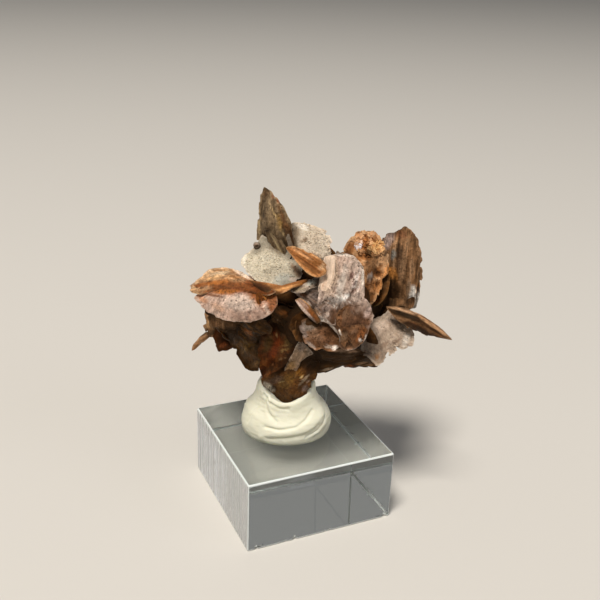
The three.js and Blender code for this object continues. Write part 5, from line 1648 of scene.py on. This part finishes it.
def square_path():
    """Points and outward directions round a square whose corners are arcs of BLOCK_EDGE."""
    half = (block_high[0] - block_low[0]) / 2
    run = np.linspace(-1, 1, SIDE_STEPS) * (half - BLOCK_EDGE)
    bends = np.linspace(0, math.pi / 2, CORNER_STEPS + 1)[1:-1]
    side = np.column_stack([np.full(SIDE_STEPS, half), run])
    arc = np.column_stack([np.cos(bends), np.sin(bends)])
    corner = half - BLOCK_EDGE + BLOCK_EDGE * arc
    points = np.vstack([side, corner])
    outwards = np.vstack([np.tile([1.0, 0.0], (SIDE_STEPS, 1)), arc])
    quarter = [turn_about("Z", 90 * k)[:2, :2].T for k in range(4)]
    return (np.vstack([points @ turn for turn in quarter]),
            np.vstack([outwards @ turn for turn in quarter]))


def block_profile():
    """(share of the way out from the axis, inset from the side, height, ground) up the block."""
    height = block_high[2] - block_low[2]
    flat = [(share, BLOCK_EDGE, 0) for share in (0, 0.3, 0.6, 0.8, 0.92, 0.97)]
    bends = np.linspace(0, math.pi / 2, EDGE_STEPS)
    edge = [(1, BLOCK_EDGE * (1 - math.sin(bend)), BLOCK_EDGE * (1 - math.cos(bend)))
            for bend in bends]
    levels = np.linspace(BLOCK_EDGE, height - BLOCK_EDGE, SIDE_LEVELS)[1:-1]
    side = [(1, 0, level) for level in levels]
    top = [(share, inset, height - up) for share, inset, up in reversed(flat + edge)]
    ground = [0] * len(flat) + [1] * len(edge) + [0] * len(side) + [1] * len(edge) + [0] * len(flat)
    return np.column_stack([np.array(flat + edge + side + top), ground])


def block_points():
    path, outwards = square_path()
    share, inset, height, ground = block_profile().T
    reach = path[:, None] - inset[None, :, None] * outwards[:, None]
    spread = reach * share[None, :, None]
    points = np.concatenate([spread, np.broadcast_to(height, spread.shape[:2])[..., None]], -1)
    # Nicks bite into the bottom edge where noise along it is high
    along_edge = np.column_stack([path, np.zeros(len(path))])
    bite = sum(smoothstep(low, high, noise(along_edge, wide, NICK_SEED + k))
               for k, (wide, low, high) in enumerate(NICKS))
    near_bottom = np.exp(-(height / NICK_HEIGHT) ** 2) * smoothstep(0.9, 1, share)
    front = smoothstep(0, 1, -outwards[:, 1] + 0.4 * outwards[:, 0])
    nick = NICK * (bite * front)[:, None] * near_bottom[None]
    points[..., :2] -= nick[..., None] * outwards[:, None]
    points[..., 2] += 0.6 * nick
    # Upright saw marks on the side that faces left
    left = smoothstep(0.8, 1, -outwards[:, 0])
    marks = noise(along_edge, 0.9, SAW_SEED) + 0.4 * noise(along_edge, 0.4, SAW_SEED + 1)
    marks = np.minimum(0, marks)
    on_side = smoothstep(0.2, 0.8, height) * smoothstep(0.2, 0.8, height[-1] - height)
    depth = SAW_MARK * (left * marks)[:, None] * on_side[None]
    points[..., :2] += depth[..., None] * outwards[:, None]
    # The four upright edges, the rims and the nicks are ground, so they scatter the light; their
    # opaque pale grey is partly painted highlight along the edges
    upright = smoothstep(0.02, 0.1, 1 - np.abs(outwards).max(1))[:, None] * (share > 0.99)
    ground = np.maximum(np.maximum(ground[None], upright), smoothstep(0.02, 0.1, nick))
    return points, ground


def make_block():
    points, ground = block_points()
    centre = (block_low + block_high) / 2
    place = points.reshape(-1, 3) + [centre[0], centre[1], block_low[2]]
    faces = grid_faces(*points.shape[:2])
    piece = new_piece("polished_block", place * MM, faces.tolist())
    is_ground = ground.reshape(-1)[faces].min(1) > 0.5
    is_sawn = ~is_ground & (points.reshape(-1, 3)[faces][..., 0].max(1) < SAWN_FROM)
    piece.data.polygons.foreach_set("material_index", (is_ground + 2 * is_sawn).astype(np.int32))
    close_poles(piece)
    set_shading(piece, sharp_degrees=12)
    return piece


block = make_block()
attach(block, "root")
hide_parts("acrylic_block")
print("block faces:", len(block.data.polygons))

# %% [markdown]
# ## Acrylic's finish
#
# Cast acrylic is clear as water, with an index of refraction of 1.49, so the material is plain
# transmission with a trace of absorption, and hair scratches from handling. Where the edges
# are ground it scatters the light and looks pale grey, a grey that is partly painted highlight
# along the edges. The sawn side has upright streaks: frosted white along the saw marks and
# half clear between them.

# %% Acrylic material
# Widths in mm; a real hair scratch is a tenth as wide and would not show
SCRATCH = 0.12
SAW_STREAK = 0.7
DRAWN_OUT = 0.03
ACRYLIC_IOR = 1.49


def acrylic_material():
    material, tree, shader = start_material("cast acrylic")
    place = add_node(tree, "TexCoord").outputs["Object"]
    slanted = add_node(tree, "Mapping", inputs={
        "Vector": place, "Rotation": (0.3, 0.6, 0.7), "Scale": (1, DRAWN_OUT, DRAWN_OUT)}).outputs[0]
    hairs = add_node(tree, "TexNoise", inputs={
        "Vector": slanted, "Scale": per_metre(SCRATCH), "Detail": 1.0}).outputs["Fac"]
    hair_share = add_node(tree, "MapRange", inputs={
        "Value": hairs, **limits(0.72, 0.78, 0, 0.12)}).outputs["Result"]
    tree.links.new(hair_share, shader.inputs["Roughness"])
    bump = add_node(tree, "Bump", inputs={
        "Height": hair_share, "Strength": 0.3, "Distance": -0.02 * MM}).outputs["Normal"]
    tree.links.new(bump, shader.inputs["Normal"])
    shader.inputs["Base Color"].default_value = colour_socket("#fbfdfc")
    shader.inputs["IOR"].default_value = ACRYLIC_IOR
    shader.inputs["Transmission Weight"].default_value = 1.0
    absorption = add_node(tree, "VolumeAbsorption", inputs={
        "Color": colour_socket("#d6e6e2"), "Density": 6.0})
    output = next(node for node in tree.nodes if node.type == "OUTPUT_MATERIAL")
    tree.links.new(absorption.outputs["Volume"], output.inputs["Volume"])
    return material


def sawn_material():
    """Upright streaks: frosted white where the saw left its marks, clearer between them."""
    material, tree, shader = start_material("sawn acrylic")
    place = add_node(tree, "TexCoord").outputs["Object"]
    stretched = add_node(tree, "VectorMath", {"operation": "MULTIPLY"},
                         {0: place, 1: (1, 1, DRAWN_OUT)}).outputs[0]
    streaks = add_node(tree, "TexNoise", inputs={
        "Vector": stretched, "Scale": per_metre(SAW_STREAK), "Detail": 3.0,
        "Roughness": 0.7}).outputs["Fac"]
    share = add_node(tree, "MapRange", inputs={
        "Value": streaks, **limits(0.4, 0.62)}).outputs["Result"]
    colour = add_node(tree, "Mix", {"data_type": "RGBA"}, {
        "Factor": share, "A": colour_socket("#dde1e0"),
        "B": colour_socket("#ffffff")}).outputs["Result"]
    tree.links.new(colour, shader.inputs["Base Color"])
    roughness = add_node(tree, "MapRange", inputs={
        "Value": share, **limits(0, 1, 0.1, 0.5)}).outputs["Result"]
    tree.links.new(roughness, shader.inputs["Roughness"])
    bump = add_node(tree, "Bump", inputs={
        "Height": share, "Strength": 0.4, "Distance": 0.05 * MM}).outputs["Normal"]
    tree.links.new(bump, shader.inputs["Normal"])
    shader.inputs["IOR"].default_value = ACRYLIC_IOR
    shader.inputs["Transmission Weight"].default_value = 0.5
    return material


# Opaque pale grey: partly the ground finish, partly a painted highlight along the edges
def ground_edge_and_highlight_material():
    material, _, shader = start_material("ground acrylic edge")
    shader.inputs["Base Color"].default_value = colour_socket("#dfe5e4")
    shader.inputs["Roughness"].default_value = 0.55
    shader.inputs["IOR"].default_value = ACRYLIC_IOR
    return material


for finish in (acrylic_material(), ground_edge_and_highlight_material(), sawn_material()):
    block.data.materials.append(finish)
print("materials", [material.name for material in block.data.materials])

# %% [markdown]
# ## Floor and light
#
# The specimen stands on a plain pale floor under soft studio light: a large key lamp high on
# the left lights the faces that look up, a wide weak one on the right fills the shadows, and a
# pale world lights the rest.

# %% Studio
FLOOR_GAP = 0.05
FLOOR_HALF = 4


def make_floor():
    corners = [(across * FLOOR_HALF, along * FLOOR_HALF, -FLOOR_GAP * MM)
               for across, along in ((-1, -1), (1, -1), (1, 1), (-1, 1))]
    floor = new_piece("studio_floor", corners, [(0, 1, 2, 3)])
    material, _, shader = start_material("matt studio paper")
    shader.inputs["Base Color"].default_value = colour_socket("#cfccc6")
    shader.inputs["Roughness"].default_value = 0.9
    floor.data.materials.append(material)


def make_lamp(name, azimuth, elevation, distance, size, watts, colour):
    """An area lamp at that azimuth and elevation about the cluster, aimed at it."""
    aim = Vector(VIEW_MIDDLE * MM)
    a, e = math.radians(azimuth), math.radians(elevation)
    way = Vector((math.cos(e) * math.sin(a), -math.cos(e) * math.cos(a), math.sin(e)))
    data = bpy.data.lights.new(name, "AREA")
    data.shape = "DISK"
    data.size = size
    data.energy = watts
    data.color = linear(colour)
    lamp = bpy.data.objects.new(name, data)
    lamp.location = aim + way * distance
    lamp.rotation_euler = (-way).to_track_quat("-Z", "Y").to_euler()
    bpy.context.scene.collection.objects.link(lamp)


def make_world(colour, strength):
    world = bpy.data.worlds.new("studio")
    world.use_nodes = True
    background = world.node_tree.nodes["Background"]
    background.inputs["Color"].default_value = colour_socket(colour)
    background.inputs["Strength"].default_value = strength
    bpy.context.scene.world = world


make_floor()
make_lamp("key_lamp", azimuth=-50, elevation=66, distance=1.6, size=0.5, watts=29, colour="#fff8ef")
make_lamp("fill_lamp", azimuth=40, elevation=25, distance=1.6, size=0.9, watts=2.5, colour="#f6f6ff")
make_world(colour="#e8e8e8", strength=0.22)
bpy.context.scene.view_settings.view_transform = "Standard"
print("studio lit")
